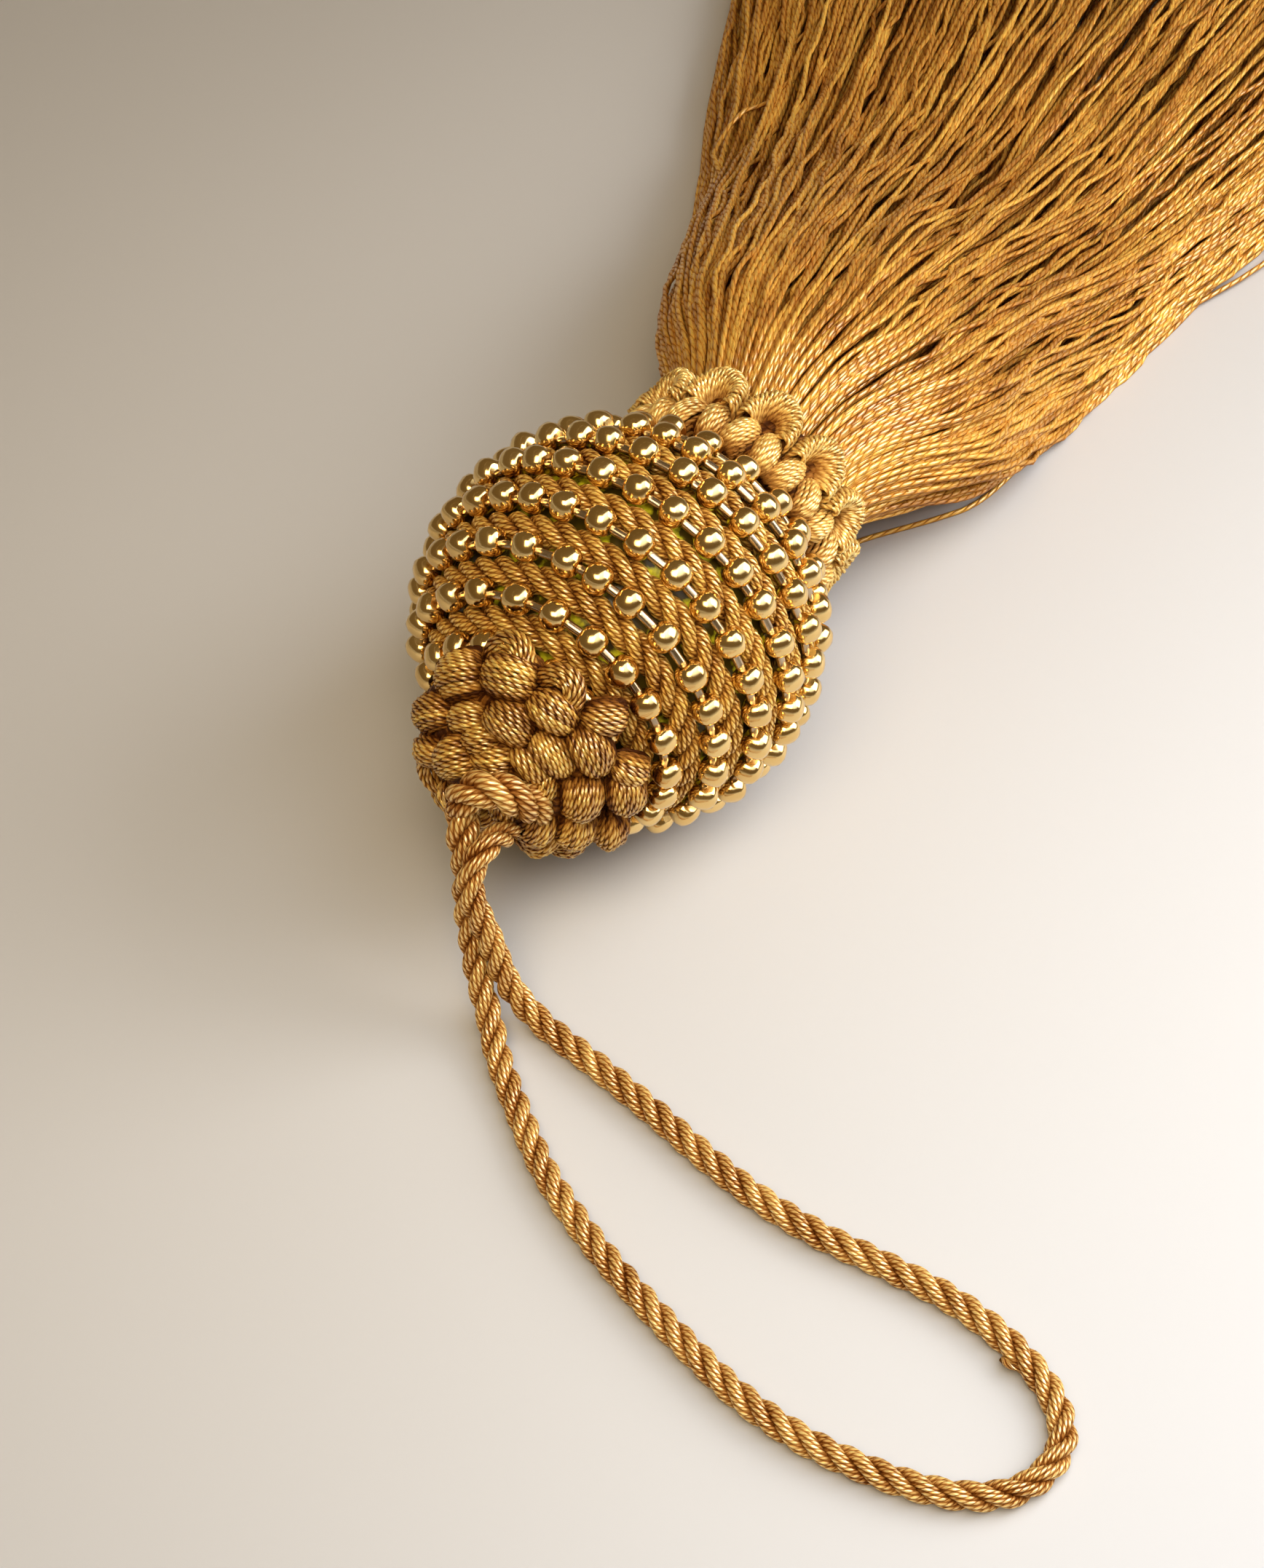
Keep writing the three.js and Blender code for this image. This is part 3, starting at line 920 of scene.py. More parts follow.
@dataclass
class HangingLoop:
    """The laid hanging cord: out of the crown in an arch, round on the floor and back in."""

    rope: Rope = Rope(2.95 * MM, 8.7 * MM, flank_shade=0.86)
    tones: Span = (0.58, 0.9)
    step: float = 0.3 * MM
    path_every: int = 4
    floor: float = 1.5
    arch_swell: float = 0.4
    swell_run: Span = (9.0 * MM, 24.0 * MM)
    snag_radius: float = 0.32 * MM
    snag_section: Section = field(default_factory=lambda: Section.of_yarns(3, 3, 0.7))
    snag_tone: float = 0.4
    snag_step: float = 0.2 * MM
    snag_twist: float = 0.5 * MM
    seed: int = 11
    arch: tuple[Point, ...] = (
        (-25.2, -6.8, 21.0), (-27.5, -6.3, 23.8), (-28.9, -4.7, 25.6), (-29.9, -2.6, 25.7),
        (-30.6, -1.2, 24.3))
    drop: tuple[Point, ...] = (
        (-30.4, -0.8, 22.2), (-32.1, -1.8, 19.9), (-33.3, -2.9, 16.6), (-34.7, -3.7, 13.2),
        (-35.9, -5.0, 9.7), (-37.5, -6.8, 6.2), (-39.6, -9.5, 3.3), (-42.6, -12.7, 1.9))
    lying: tuple[Span, ...] = (
        (-46.1, -17.1), (-51.2, -24.0), (-54.9, -31.0), (-57.9, -38.5), (-60.5, -46.5),
        (-62.5, -54.0), (-63.2, -61.0), (-62.8, -67.0), (-61.7, -72.8), (-59.9, -77.4),
        (-57.2, -80.7), (-53.8, -82.2), (-50.4, -82.1), (-47.8, -80.5), (-45.7, -77.9),
        (-44.2, -74.6), (-43.0, -70.5), (-42.3, -65.0), (-42.5, -58.0), (-42.9, -51.0),
        (-42.5, -44.0), (-41.2, -37.0), (-39.5, -30.0), (-37.8, -22.0), (-36.4, -14.5))
    rise: tuple[Point, ...] = (
        (-36.2, -11.0, 3.6), (-36.3, -9.2, 6.6), (-36.1, -8.0, 9.8), (-35.9, -6.7, 12.8),
        (-35.7, -5.4, 15.5), (-35.1, -4.7, 17.8), (-33.9, -4.6, 19.6), (-32.1, -4.9, 20.6),
        (-30.2, -5.0, 20.1), (-28.2, -4.8, 18.8))
    snag: tuple[Point, ...] = (
        (-44.3, -76.0, 1.9), (-45.5, -75.1, 1.7), (-45.8, -73.9, 1.6), (-45.4, -73.0, 1.4))

    def __post_init__(self) -> None:
        """Work out the whole line and where the arch ends on it."""
        floor_points = [(x, y, self.floor) for x, y in self.lying]
        points = np.array([*self.arch, *self.drop, *floor_points, *self.rise]) * MM
        self.line = smooth_route(points, self.step)
        away = np.linalg.norm(self.line - np.array(self.drop[0]) * MM, axis=1)
        self.exit_at = int(np.argmin(away))
        self.across, self.up = carried_frames(self.line)
        self.run = run_along(self.line)
        self.swell = 1.0 + self.arch_swell * (1.0 - eased(self.run, *self.swell_run))
        rng = np.random.default_rng(self.seed)
        self.ply_tones = rng.uniform(*self.tones, self.rope.plies)

    def lay_stretch(self, mesh: StrandMesh, stretch: slice) -> None:
        """Lay the plies along one stretch of the line."""
        self.rope.lay_up(mesh, self.line[stretch], self.across[stretch], self.up[stretch],
                         self.run[stretch], self.ply_tones, self.swell[stretch])

    def build(self, material: bpy.types.Material) -> None:
        """Args:
            material: The cord's material.
        """
        mesh = StrandMesh()
        free = slice(self.exit_at, None)
        self.lay_stretch(mesh, free)
        snag = smooth_route(np.array(self.snag) * MM, self.snag_step)[None]
        across, up = facing_frames(snag, np.broadcast_to(UP, snag.shape))
        mesh.add(snag, across, up, self.snag_radius, self.snag_section, 0.0, self.snag_tone,
                 run_along(snag) / self.snag_twist)
        piece = finish_piece(mesh.build("hanging_cord"), material, "loop_cord", "hanging_loop")


@dataclass(frozen=True)
class Winding:
    """The level turns that are wound round the ball, each stepping over to the next row."""

    pitch: float = 14.6
    level_share: float = 0.6
    fine_points: int = 6000

    def line(self, turns: Span, shift: float, radius: float, step: float) -> Array:
        """Work out a wound line.

        Args:
            turns: First and last turn, counted from the ball's middle.
            shift: Rows by which this winding is set off from the first.
            radius: Distance of the line from the ball's centre.
            step: Distance between points.

        Returns:
            Evenly spaced points on the line.
        """
        turn = np.linspace(*turns, self.fine_points)
        row = np.floor(turn) + eased(turn - np.floor(turn), self.level_share, 1.0)
        polar = np.radians(90.0 + self.pitch * (row + shift))
        around = np.radians(-90.0 - 360.0 * turn)
        out = np.sin(polar)
        points = np.stack([-np.cos(polar), out * np.cos(around), out * np.sin(around)], axis=-1)
        return even_line(BALL_CENTRE + radius * points, step)


@dataclass
class Ball:
    """The painted core with its wound cord and its chain of beads."""

    winding: Winding = Winding()
    core_radius: float = 18.5 * MM
    core_sides: int = 72
    core_rings: int = 37
    core_pole: float = 0.04
    core_tone: float = 0.5
    rope: Rope = Rope(3.35 * MM, 8.8 * MM)
    cord_tones: Span = (0.52, 0.82)
    cord_turns: Span = (-4.9, 3.7)
    cord_shift: float = 0.5
    cord_radius: float = 19.55 * MM
    cord_step: float = 0.66 * MM
    chain_turns: Span = (-4.6, 3.85)
    chain_radius: float = 21.3 * MM
    chain_step: float = 0.2 * MM
    bead_radius: float = 1.6 * MM
    bead_lengths: Span = (0.94, 1.0)
    bead_sides: int = 16
    bead_squared: float = 2.8
    bead_rings: int = 10
    bead_pole: float = 0.24
    bead_round: float = 0.7
    bead_gaps: Span = (3.3 * MM, 5.1 * MM)
    gap_bias: Span = (2.2, 1.6)
    link_radius: float = 0.5 * MM
    link_sides: int = 10
    link_sink: float = 0.4 * MM
    link_shares: tuple[float, ...] = (0.2, 0.35, 0.5, 0.65, 0.8)
    seed: int = 5

    def build_core(self) -> None:
        """Make the painted ball."""
        angle = np.linspace(self.core_pole, np.pi - self.core_pole, self.core_rings)
        centres = np.zeros((1, self.core_rings, 3))
        centres[0] = BALL_CENTRE
        centres[0, :, 0] -= self.core_radius * np.cos(angle)
        across = np.broadcast_to((0.0, 1.0, 0.0), centres.shape)
        up = np.broadcast_to(UP, centres.shape)
        mesh = StrandMesh()
        mesh.add(centres, across, up, self.core_radius * np.sin(angle),
                 Section.round(self.core_sides), 0.0, self.core_tone)
        finish_piece(mesh.build("painted_core"), CORE_PAINT_SHADE_GLINTS.material(), "core", "ball_core")

    def build_cord(self, material: bpy.types.Material) -> None:
        """Make the wound cord.

        Args:
            material: The cord's material.
        """
        line = self.winding.line(self.cord_turns, self.cord_shift, self.cord_radius, self.cord_step)
        across, up = facing_frames(line, line - BALL_CENTRE)
        tones = np.random.default_rng(self.seed).uniform(*self.cord_tones, self.rope.plies)
        mesh = StrandMesh()
        self.rope.lay_up(mesh, line, across, up, run_along(line), tones)
        finish_piece(mesh.build("wound_cord"), material, "wrap_cord", "cord_wrap")

    def bead_places(self) -> tuple[Array, Array]:
        """Space the beads along the chain, some touching and some with a link between.

        Returns:
            The beads' centres and their directions along the chain.
        """
        rng = np.random.default_rng(self.seed)
        line = self.winding.line(self.chain_turns, 0.0, self.chain_radius, self.chain_step)
        run = run_along(line)
        along = unit(np.gradient(line, axis=0))
        low, high = self.bead_gaps
        marks = [self.bead_radius]
        while marks[-1] < run[-1] - high:
            marks.append(marks[-1] + low + (high - low) * rng.beta(*self.gap_bias))
        return read_line(marks, run, line), unit(read_line(marks, run, along))

    def build_chain(self) -> None:
        """Make the beads and the links between them."""
        rng = np.random.default_rng(self.seed + 1)
        centres, ways = self.bead_places()
        count = len(centres)
        angle = np.linspace(self.bead_pole, np.pi - self.bead_pole, self.bead_rings)
        length = self.bead_radius * rng.uniform(*self.bead_lengths, count)[:, None, None]
        rings = centres[:, None] - length * np.cos(angle)[:, None] * ways[:, None]
        outward = np.broadcast_to(unit(centres - BALL_CENTRE)[:, None], rings.shape)
        across, up = facing_frames(rings, outward)
        radius = self.bead_radius * np.sin(angle) ** self.bead_round
        tilt = rng.uniform(0.0, np.pi, (count, 1))
        beads = StrandMesh()
        beads.add(rings, across, up, radius, Section.round(self.bead_sides, self.bead_squared), 0.0,
                  rng.uniform(0, 1, count), tilt)
        finish_piece(beads.build("chain_beads"), BEAD_PLATE.material(), "bead_chain", "chain_wrap")

        starts, ends = centres[:-1], centres[1:]
        rods = starts[:, None] + (ends - starts)[:, None] * np.array(self.link_shares)[:, None]
        rod_out = unit(rods - BALL_CENTRE)
        rods = rods - self.link_sink * rod_out
        across, up = facing_frames(rods, rod_out)
        links = StrandMesh()
        links.add(rods, across, up, self.link_radius, Section.round(self.link_sides), 0.0,
                  rng.uniform(0, 1, count - 1))
        finish_piece(links.build("chain_links"), LINK_PLATE.material(), "bead_chain", "chain_wrap")


class LumpShape(Enum):
    """How far a braid lump's yarns draw together at its two ends."""

    BARREL = (0.68, 0.68)
    LEAF = (0.25, 0.25)
    FAN = (0.15, 0.6)
    PUFF = (0.75, 0.3)


@dataclass(frozen=True)
class Lump:
    """One lump of braid: its place on the bed, which way its yarns run and how big it is."""

    place: float
    around: float
    heading: float
    length: float
    width: float
    shape: LumpShape

    @classmethod
    def of_mm(cls, place: float, around: float, heading: float, length: float, width: float,
              shape: LumpShape) -> "Lump":
        """Make a lump whose place, length and width are given in millimetres."""
        return cls(place * MM, around, heading, length * MM, width * MM, shape)


@dataclass
class Braid:
    """Lumps of yarn laid side by side over a bed of wound yarn."""

    yarn: float = 0.53 * MM
    yarn_radius_share: float = 0.57
    yarn_plies: int = 2
    yarn_lay: float = 2.1 * MM
    yarn_groove: float = 0.7
    lit_groove: float = 0.6
    yarn_corners: int = 3
    yarn_rings: int = 17
    # Painted shade on the yarns' sides
    yarn_flank_shade: float = 0.3
    yarn_uneven: float = 0.07 * MM
    tones: Span = (0.14, 0.86)
    # Painted shade: yarns low on each lump, towards the creases between lumps, are painted darker
    least_bare: float = 0.03
    bare_span: Span = (0.25, 0.92)
    lump_height: float = 3.8 * MM
    lump_plump: float = 0.85
    lump_ease: float = 0.98
    lump_draw: float = 0.45
    lump_curl: float = 0.06
    rise_power: float = 0.8
    side_power: float = 0.9
    sink: float = 1.3 * MM
    edge: float = 86.0
    bed_yarn: float = 0.85 * MM
    bed_sink: float = 0.7
    bed_sides: int = 8
    # The bed yarn lies under the lumps; its low tone and low bare share paint shade there
    bed_tone: float = 0.2
    bed_bare: float = 0.4
    seed: int = 21

    def on_bed(self, place: Array, around: Array, lift: Array) -> tuple[Array, Array]:
        """Find points over the bed and the way out of it; each braid has its own bed."""
        raise NotImplementedError

    def step_on_bed(self, lump: Lump, sideways: Array, forward: Array) -> tuple[Array, Array]:
        """Turn steps beside a lump's middle into a place and an angle on the braid's own bed."""
        raise NotImplementedError

    def add_yarns(self, mesh: StrandMesh, lump: Lump, steps: tuple[Array, Array], lift: Array,
                  rng: np.random.Generator) -> None:
        """Lay yarns along lines given in steps from a lump's middle.

        Args:
            mesh: The mesh that takes them.
            lump: The lump.
            steps: Steps along the lump's heading and beside it.
            lift: Heights over the bed.
            rng: Source of the yarns' small differences.
        """
        count = len(lift)
        heading = math.radians(lump.heading)
        forward, beside = steps
        sideways = forward * math.cos(heading) - beside * math.sin(heading)
        onward = forward * math.sin(heading) + beside * math.cos(heading)
        place, around = self.step_on_bed(lump, sideways, onward)
        # Painted shade towards the lump's foot
        lit = eased(lift / lift.max(), *self.bare_span)
        bare = self.least_bare + (1.0 - self.least_bare) * lit
        lift = lift - self.sink + rng.normal(0.0, self.yarn_uneven, (count, 1))
        centres, outward = self.on_bed(place, around, lift)
        across, up = facing_frames(centres, outward)
        turns = run_along(centres) / self.yarn_lay + rng.uniform(0, 1, (count, 1))
        section = Section.of_yarns(self.yarn_plies, self.yarn_corners, self.yarn_groove,
                                   self.lit_groove)
        mesh.add(centres, across, up, self.yarn_radius_share * self.yarn, section, 0.0,
                 rng.uniform(*self.tones, count), 2 * np.pi * turns, bare, self.yarn_flank_shade)

    def add_lump(self, mesh: StrandMesh, lump: Lump, rng: np.random.Generator) -> None:
        """Lay one lump's yarns side by side over a rounded pillow.

        Args:
            mesh: The mesh that takes them.
            lump: The lump.
            rng: Source of the yarns' small differences.
        """
        length, width = self.lump_ease * lump.length, self.lump_ease * lump.width
        height = min(self.lump_height, self.lump_plump * width)
        girth = np.pi * math.sqrt((width ** 2 / 4 + height ** 2) / 2) * self.edge / 90
        count = max(3, round(girth / self.yarn))
        lean = np.radians(np.linspace(-self.edge, self.edge, count))[:, None]
        lane = np.sin(lean) / math.sin(math.radians(self.edge))
        share = np.linspace(0.0, 1.0, self.yarn_rings)[None]
        start, end = lump.shape.value
        draw = self.lump_draw
        opening = start + (1 - start) * np.sin(np.pi / 2 * np.minimum(share / draw, 1.0))
        closing = end + (1 - end) * np.sin(np.pi / 2 * np.minimum((1 - share) / draw, 1.0))
        forward = -np.cos(np.pi * share) * length / 2 * (1 - self.lump_curl * lane ** 2)
        beside = lane * width / 2 * opening * closing
        rise = height * np.sin(np.pi * share) ** self.rise_power
        self.add_yarns(mesh, lump, (forward, beside), rise * np.cos(lean) ** self.side_power, rng)

    def add_bed_yarn(self, mesh: StrandMesh, place: Array, around: Array) -> None:
        """Wind the yarn that closes the bed under the lumps.

        Args:
            mesh: The mesh that takes it.
            place: Places along the bed.
            around: Angles at those places, in degrees.
        """
        lift = np.full((1, len(place)), -self.bed_sink * self.bed_yarn)
        centres, outward = self.on_bed(place[None], around[None], lift)
        across, up = facing_frames(centres, outward)
        mesh.add(centres, across, up, self.bed_yarn, Section.round(self.bed_sides),
                 run_along(centres) / self.yarn_lay, self.bed_tone, bare=self.bed_bare)


@dataclass
class CrownBraid(Braid):
    """The domed crown that covers the ball's upper end, round the foot of the hanging cord."""

    tip: float = -28.2 * MM
    tip_radius: float = 0.1 * MM
    depth: float = 11.0 * MM
    rim_radius: float = 14.8 * MM
    bulge: float = 1.9
    least_place: float = 0.3 * MM
    least_turn: float = 2.5 * MM
    bed_radius: float = 11.8 * MM
    bed_turns: float = 11.0
    bed_close: float = 11.6
    bed_points: int = 360
    bed_dip: float = 0.2
    hoop_thick: float = 0.32
    hoop_lean: Span = (-60.0, 120.0)
    hoop_turn: float = 100.0
    hoop_foot: float = 0.35
    hoop_rise: float = 0.6
    hoop_bend: float = 0.85
    hoop_power: float = 0.4
    hoops: tuple[Lump, ...] = (
        Lump.of_mm(12.2, 117, -84, 3.2, 3.0, LumpShape.FAN),
        Lump.of_mm(12.2, 90, -92, 3.2, 3.0, LumpShape.FAN))
    seen: tuple[Lump, ...] = (
        Lump.of_mm(10.6, 65, -20, 6.0, 5.4, LumpShape.BARREL),
        Lump.of_mm(11.6, 94, -16, 6.2, 5.2, LumpShape.BARREL),
        Lump.of_mm(8.2, 38, 4, 6.2, 4.2, LumpShape.BARREL),
        Lump.of_mm(7.6, 74, -22, 4.8, 3.4, LumpShape.BARREL),
        Lump.of_mm(8.8, 107, -10, 5.8, 4.4, LumpShape.BARREL),
        Lump.of_mm(6.2, 92, -38, 4.2, 3.4, LumpShape.BARREL),
        Lump.of_mm(6.0, 10, 40, 5.6, 3.8, LumpShape.BARREL),
        Lump.of_mm(4.0, 60, -22, 5.4, 4.4, LumpShape.BARREL),
        Lump.of_mm(5.2, 112, -44, 4.9, 3.2, LumpShape.BARREL),
        Lump.of_mm(11.4, 122, -12, 5.8, 4.4, LumpShape.LEAF),
        Lump.of_mm(13.6, 140, -56, 5.0, 3.8, LumpShape.FAN),
        Lump.of_mm(11.8, 150, -6, 6.2, 4.4, LumpShape.LEAF),
        Lump.of_mm(9.4, 141, -9, 6.2, 3.6, LumpShape.BARREL),
        Lump.of_mm(7.4, 139, -9, 5.4, 3.0, LumpShape.BARREL),
        Lump.of_mm(13.6, 169, -48, 4.6, 3.6, LumpShape.FAN),
        Lump.of_mm(10.2, 177, 6, 5.6, 4.6, LumpShape.BARREL),
        Lump.of_mm(13.2, 181, -12, 6.0, 4.4, LumpShape.LEAF),
        Lump.of_mm(7.6, 164, 15, 4.0, 2.6, LumpShape.BARREL),
        Lump.of_mm(7.5, 214, -8, 5.6, 4.2, LumpShape.BARREL),
        Lump.of_mm(10.4, 209, -12, 5.8, 4.6, LumpShape.LEAF),
        Lump.of_mm(13.2, 212, -20, 5.8, 4.4, LumpShape.LEAF))
    hidden: tuple[tuple[Lump, Point], ...] = (
        (Lump.of_mm(12.9, 0, -14, 6.2, 4.4, LumpShape.LEAF), (242, 272, 302)),
        (Lump.of_mm(9.8, 0, -10, 5.8, 4.4, LumpShape.BARREL), (240, 272, 304)),
        (Lump.of_mm(6.8, 0, -10, 5.4, 3.6, LumpShape.BARREL), (262, 298, 334)),
        (Lump.of_mm(3.8, 0, -20, 4.6, 3.4, LumpShape.BARREL), (190, 250, 310)))

    def slope(self, share: Array | float) -> Array | float:
        """Return how steeply the dome falls at a share of its rim's radius."""
        return self.depth / self.rim_radius * self.bulge * share ** (self.bulge - 1)

    def on_bed(self, place: Array, around: Array, lift: Array) -> tuple[Array, Array]:
        """Find points over the dome.

        Args:
            place: Distances from the tassel's axis.
            around: Angles round the axis, in degrees.
            lift: Heights over the dome.

        Returns:
            The points and the ways out of the dome there.
        """
        share = np.maximum(place, self.tip_radius) / self.rim_radius
        round_way = ways_round(np.radians(around))
        outward = unit(self.slope(share)[..., None] * round_way + np.array([-1.0, 0.0, 0.0]))
        points = place[..., None] * round_way + BALL_CENTRE
        points[..., 0] += self.tip + self.depth * share ** self.bulge
        return points + lift[..., None] * outward, outward

    def step_on_bed(self, lump: Lump, sideways: Array, forward: Array) -> tuple[Array, Array]:
        """Turn steps round and towards the tip into a place on the dome.

        Args:
            lump: The lump they start from.
            sideways: Steps round the axis.
            forward: Steps towards the tip.

        Returns:
            Distances from the axis and angles in degrees.
        """
        fall = math.hypot(1.0, self.slope(lump.place / self.rim_radius))
        place = np.maximum(lump.place - forward / fall, self.least_place)
        return place, lump.around + np.degrees(sideways / np.maximum(place, self.least_turn))

    def add_hoop(self, mesh: StrandMesh, hoop: Lump, rng: np.random.Generator) -> None:
        """Lay a few yarns round an eyelet, as a horse-shoe roll.

        Args:
            mesh: The mesh that takes them.
            hoop: The eyelet's place, the way the hoop opens, and its length and half width.
            rng: Source of the yarns' small differences.
        """
        thick = self.hoop_thick * hoop.length
        lean = np.radians(np.arange(*self.hoop_lean, math.degrees(self.yarn / thick)))[:, None]
        turn = np.radians(np.linspace(-self.hoop_turn, self.hoop_turn, self.yarn_rings))[None]
        reach = hoop.length - thick * (1.0 - np.sin(lean))
        height = self.hoop_foot * self.lump_height + thick * (self.hoop_rise + np.cos(lean))
        lift = height * np.cos(self.hoop_bend * turn) ** self.hoop_power
        steps = reach * np.cos(turn), hoop.width / hoop.length * reach * np.sin(turn)
        self.add_yarns(mesh, hoop, steps, lift, rng)

    def build(self, loop: HangingLoop, material: bpy.types.Material,
              cord_material: bpy.types.Material) -> None:
        """Make the crown and the arch of cord that comes out of it.

        Args:
            loop: The hanging cord, whose first stretch is the arch.
            material: The braid's material.
            cord_material: The cord's material.
        """
        rng = np.random.default_rng(self.seed)
        mesh = StrandMesh()
        turns = np.linspace(0.0, self.bed_turns, self.bed_points)
        narrow = 1.0 - self.bed_dip * np.maximum(np.cos(2 * np.pi * turns), 0.0)
        bed_place = self.bed_radius * narrow * (1 - turns / self.bed_close)
        self.add_bed_yarn(mesh, bed_place, 360.0 * turns)
        unseen = [replace(lump, around=around) for lump, angles in self.hidden for around in angles]
        for lump in [*self.seen, *unseen]:
            self.add_lump(mesh, lump, rng)
        for hoop in self.hoops:
            self.add_hoop(mesh, hoop, rng)
        finish_piece(mesh.build("crown_yarns"), material, "braid", "crown_braid")
        arch = StrandMesh()
        loop.lay_stretch(arch, slice(None, loop.exit_at + 1))
        finish_piece(arch.build("crown_arch"), cord_material, "loop_cord", "crown_braid")


@dataclass
class CollarBraid(Braid):
    """The collar of scalloped shells between the ball and the skirt."""

    # Painted light: the collar's yarns take lighter tones than the crown's, as the collar faces the
    # lamps
    tones: Span = (0.8, 1.0)
    ball_side: float = 18.0 * MM
    waist: float = 22.8 * MM
    rim_radius: float = 13.2 * MM
    waist_radius: float = 12.3 * MM
    flare_power: float = 1.5
    flare_most: float = 1.2
    bed_start: float = 19.6 * MM
    bed_pitch: float = 1.15 * MM
    bed_turns: float = 6.0
    bed_points: int = 260
    shells: int = 12
    first_shell: float = 108.0
    shell: Lump = Lump.of_mm(23.2, 0, 90, 4.7, 4.1, LumpShape.FAN)
    shell_spread: float = 104.0
    shell_girth: float = 0.72
    shell_reach: Span = (0.67, 0.33)
    shell_bias: float = 1.3
    puff: Lump = Lump.of_mm(20.6, 0, 90, 5.8, 3.9, LumpShape.PUFF)
    puff_sides: Span = (-0.25, 0.25)
    puff_lean: float = 60.0

    def on_bed(self, place: Array, around: Array, lift: Array) -> tuple[Array, Array]:
        """Find points over the collar's waist.

        Args:
            place: Distances along the tassel's axis.
            around: Angles round the axis, in degrees.
            lift: Heights over the waist.

        Returns:
            The points and the ways out of the waist there.
        """
        share = (self.waist - place) / (self.waist - self.ball_side)
        flare = np.clip(share, 0.0, self.flare_most) ** self.flare_power
        radius = self.waist_radius + (self.rim_radius - self.waist_radius) * flare + lift
        outward = ways_round(np.radians(around))
        points = radius[..., None] * outward + BALL_CENTRE
        points[..., 0] += place
        return points, outward

    def step_on_bed(self, lump: Lump, sideways: Array, forward: Array) -> tuple[Array, Array]:
        """Turn steps round and along the axis into a place on the waist.

        Args:
            lump: The lump they start from.
            sideways: Steps round the axis.
            forward: Steps towards the skirt.

        Returns:
            Distances along the axis and angles in degrees.
        """
        turn = np.degrees(sideways / (self.waist_radius + self.lump_height))
        return lump.place + forward, lump.around + turn

    def add_shell(self, mesh: StrandMesh, shell: Lump, rng: np.random.Generator) -> None:
        """Lay yarns over a horse-shoe roll, from its eyelet outwards.

        Args:
            mesh: The mesh that takes them.
            shell: The eyelet's place, the way the shell opens, and its length and half width.
            rng: Source of the yarns' small differences.
        """
        sweep = math.radians(2 * self.shell_spread)
        count = round(sweep * self.shell_girth * shell.length / self.yarn)
        lean = np.radians(np.linspace(-self.shell_spread, self.shell_spread, count))[:, None]
        share = np.linspace(0.0, 1.0, self.yarn_rings)[None]
        middle, half = self.shell_reach
        reach = middle - half * np.cos(np.pi * share)
        rise = self.lump_height * np.sin(np.pi * share ** self.shell_bias) ** self.rise_power
        steps = shell.length * reach * np.cos(lean), shell.width * reach * np.sin(lean)
        self.add_yarns(mesh, shell, steps, rise * np.ones_like(lean), rng)

    def build(self, material: bpy.types.Material) -> None:
        """Make the collar.

        Args:
            material: The braid's material.
        """
        rng = np.random.default_rng(self.seed + 1)
        mesh = StrandMesh()
        turns = np.linspace(0.0, self.bed_turns, self.bed_points)
        self.add_bed_yarn(mesh, self.bed_start + turns * self.bed_pitch, 360.0 * turns)
        spacing = 360.0 / self.shells
        for number in range(self.shells):
            around = self.first_shell + spacing * number
            self.add_shell(mesh, replace(self.shell, around=around), rng)
            for side in self.puff_sides:
                heading = self.puff.heading + self.puff_lean * side
                puff = replace(self.puff, around=around + side * spacing, heading=heading)
                self.add_lump(mesh, puff, rng)
        finish_piece(mesh.build("collar_yarns"), material, "braid", "collar_braid")


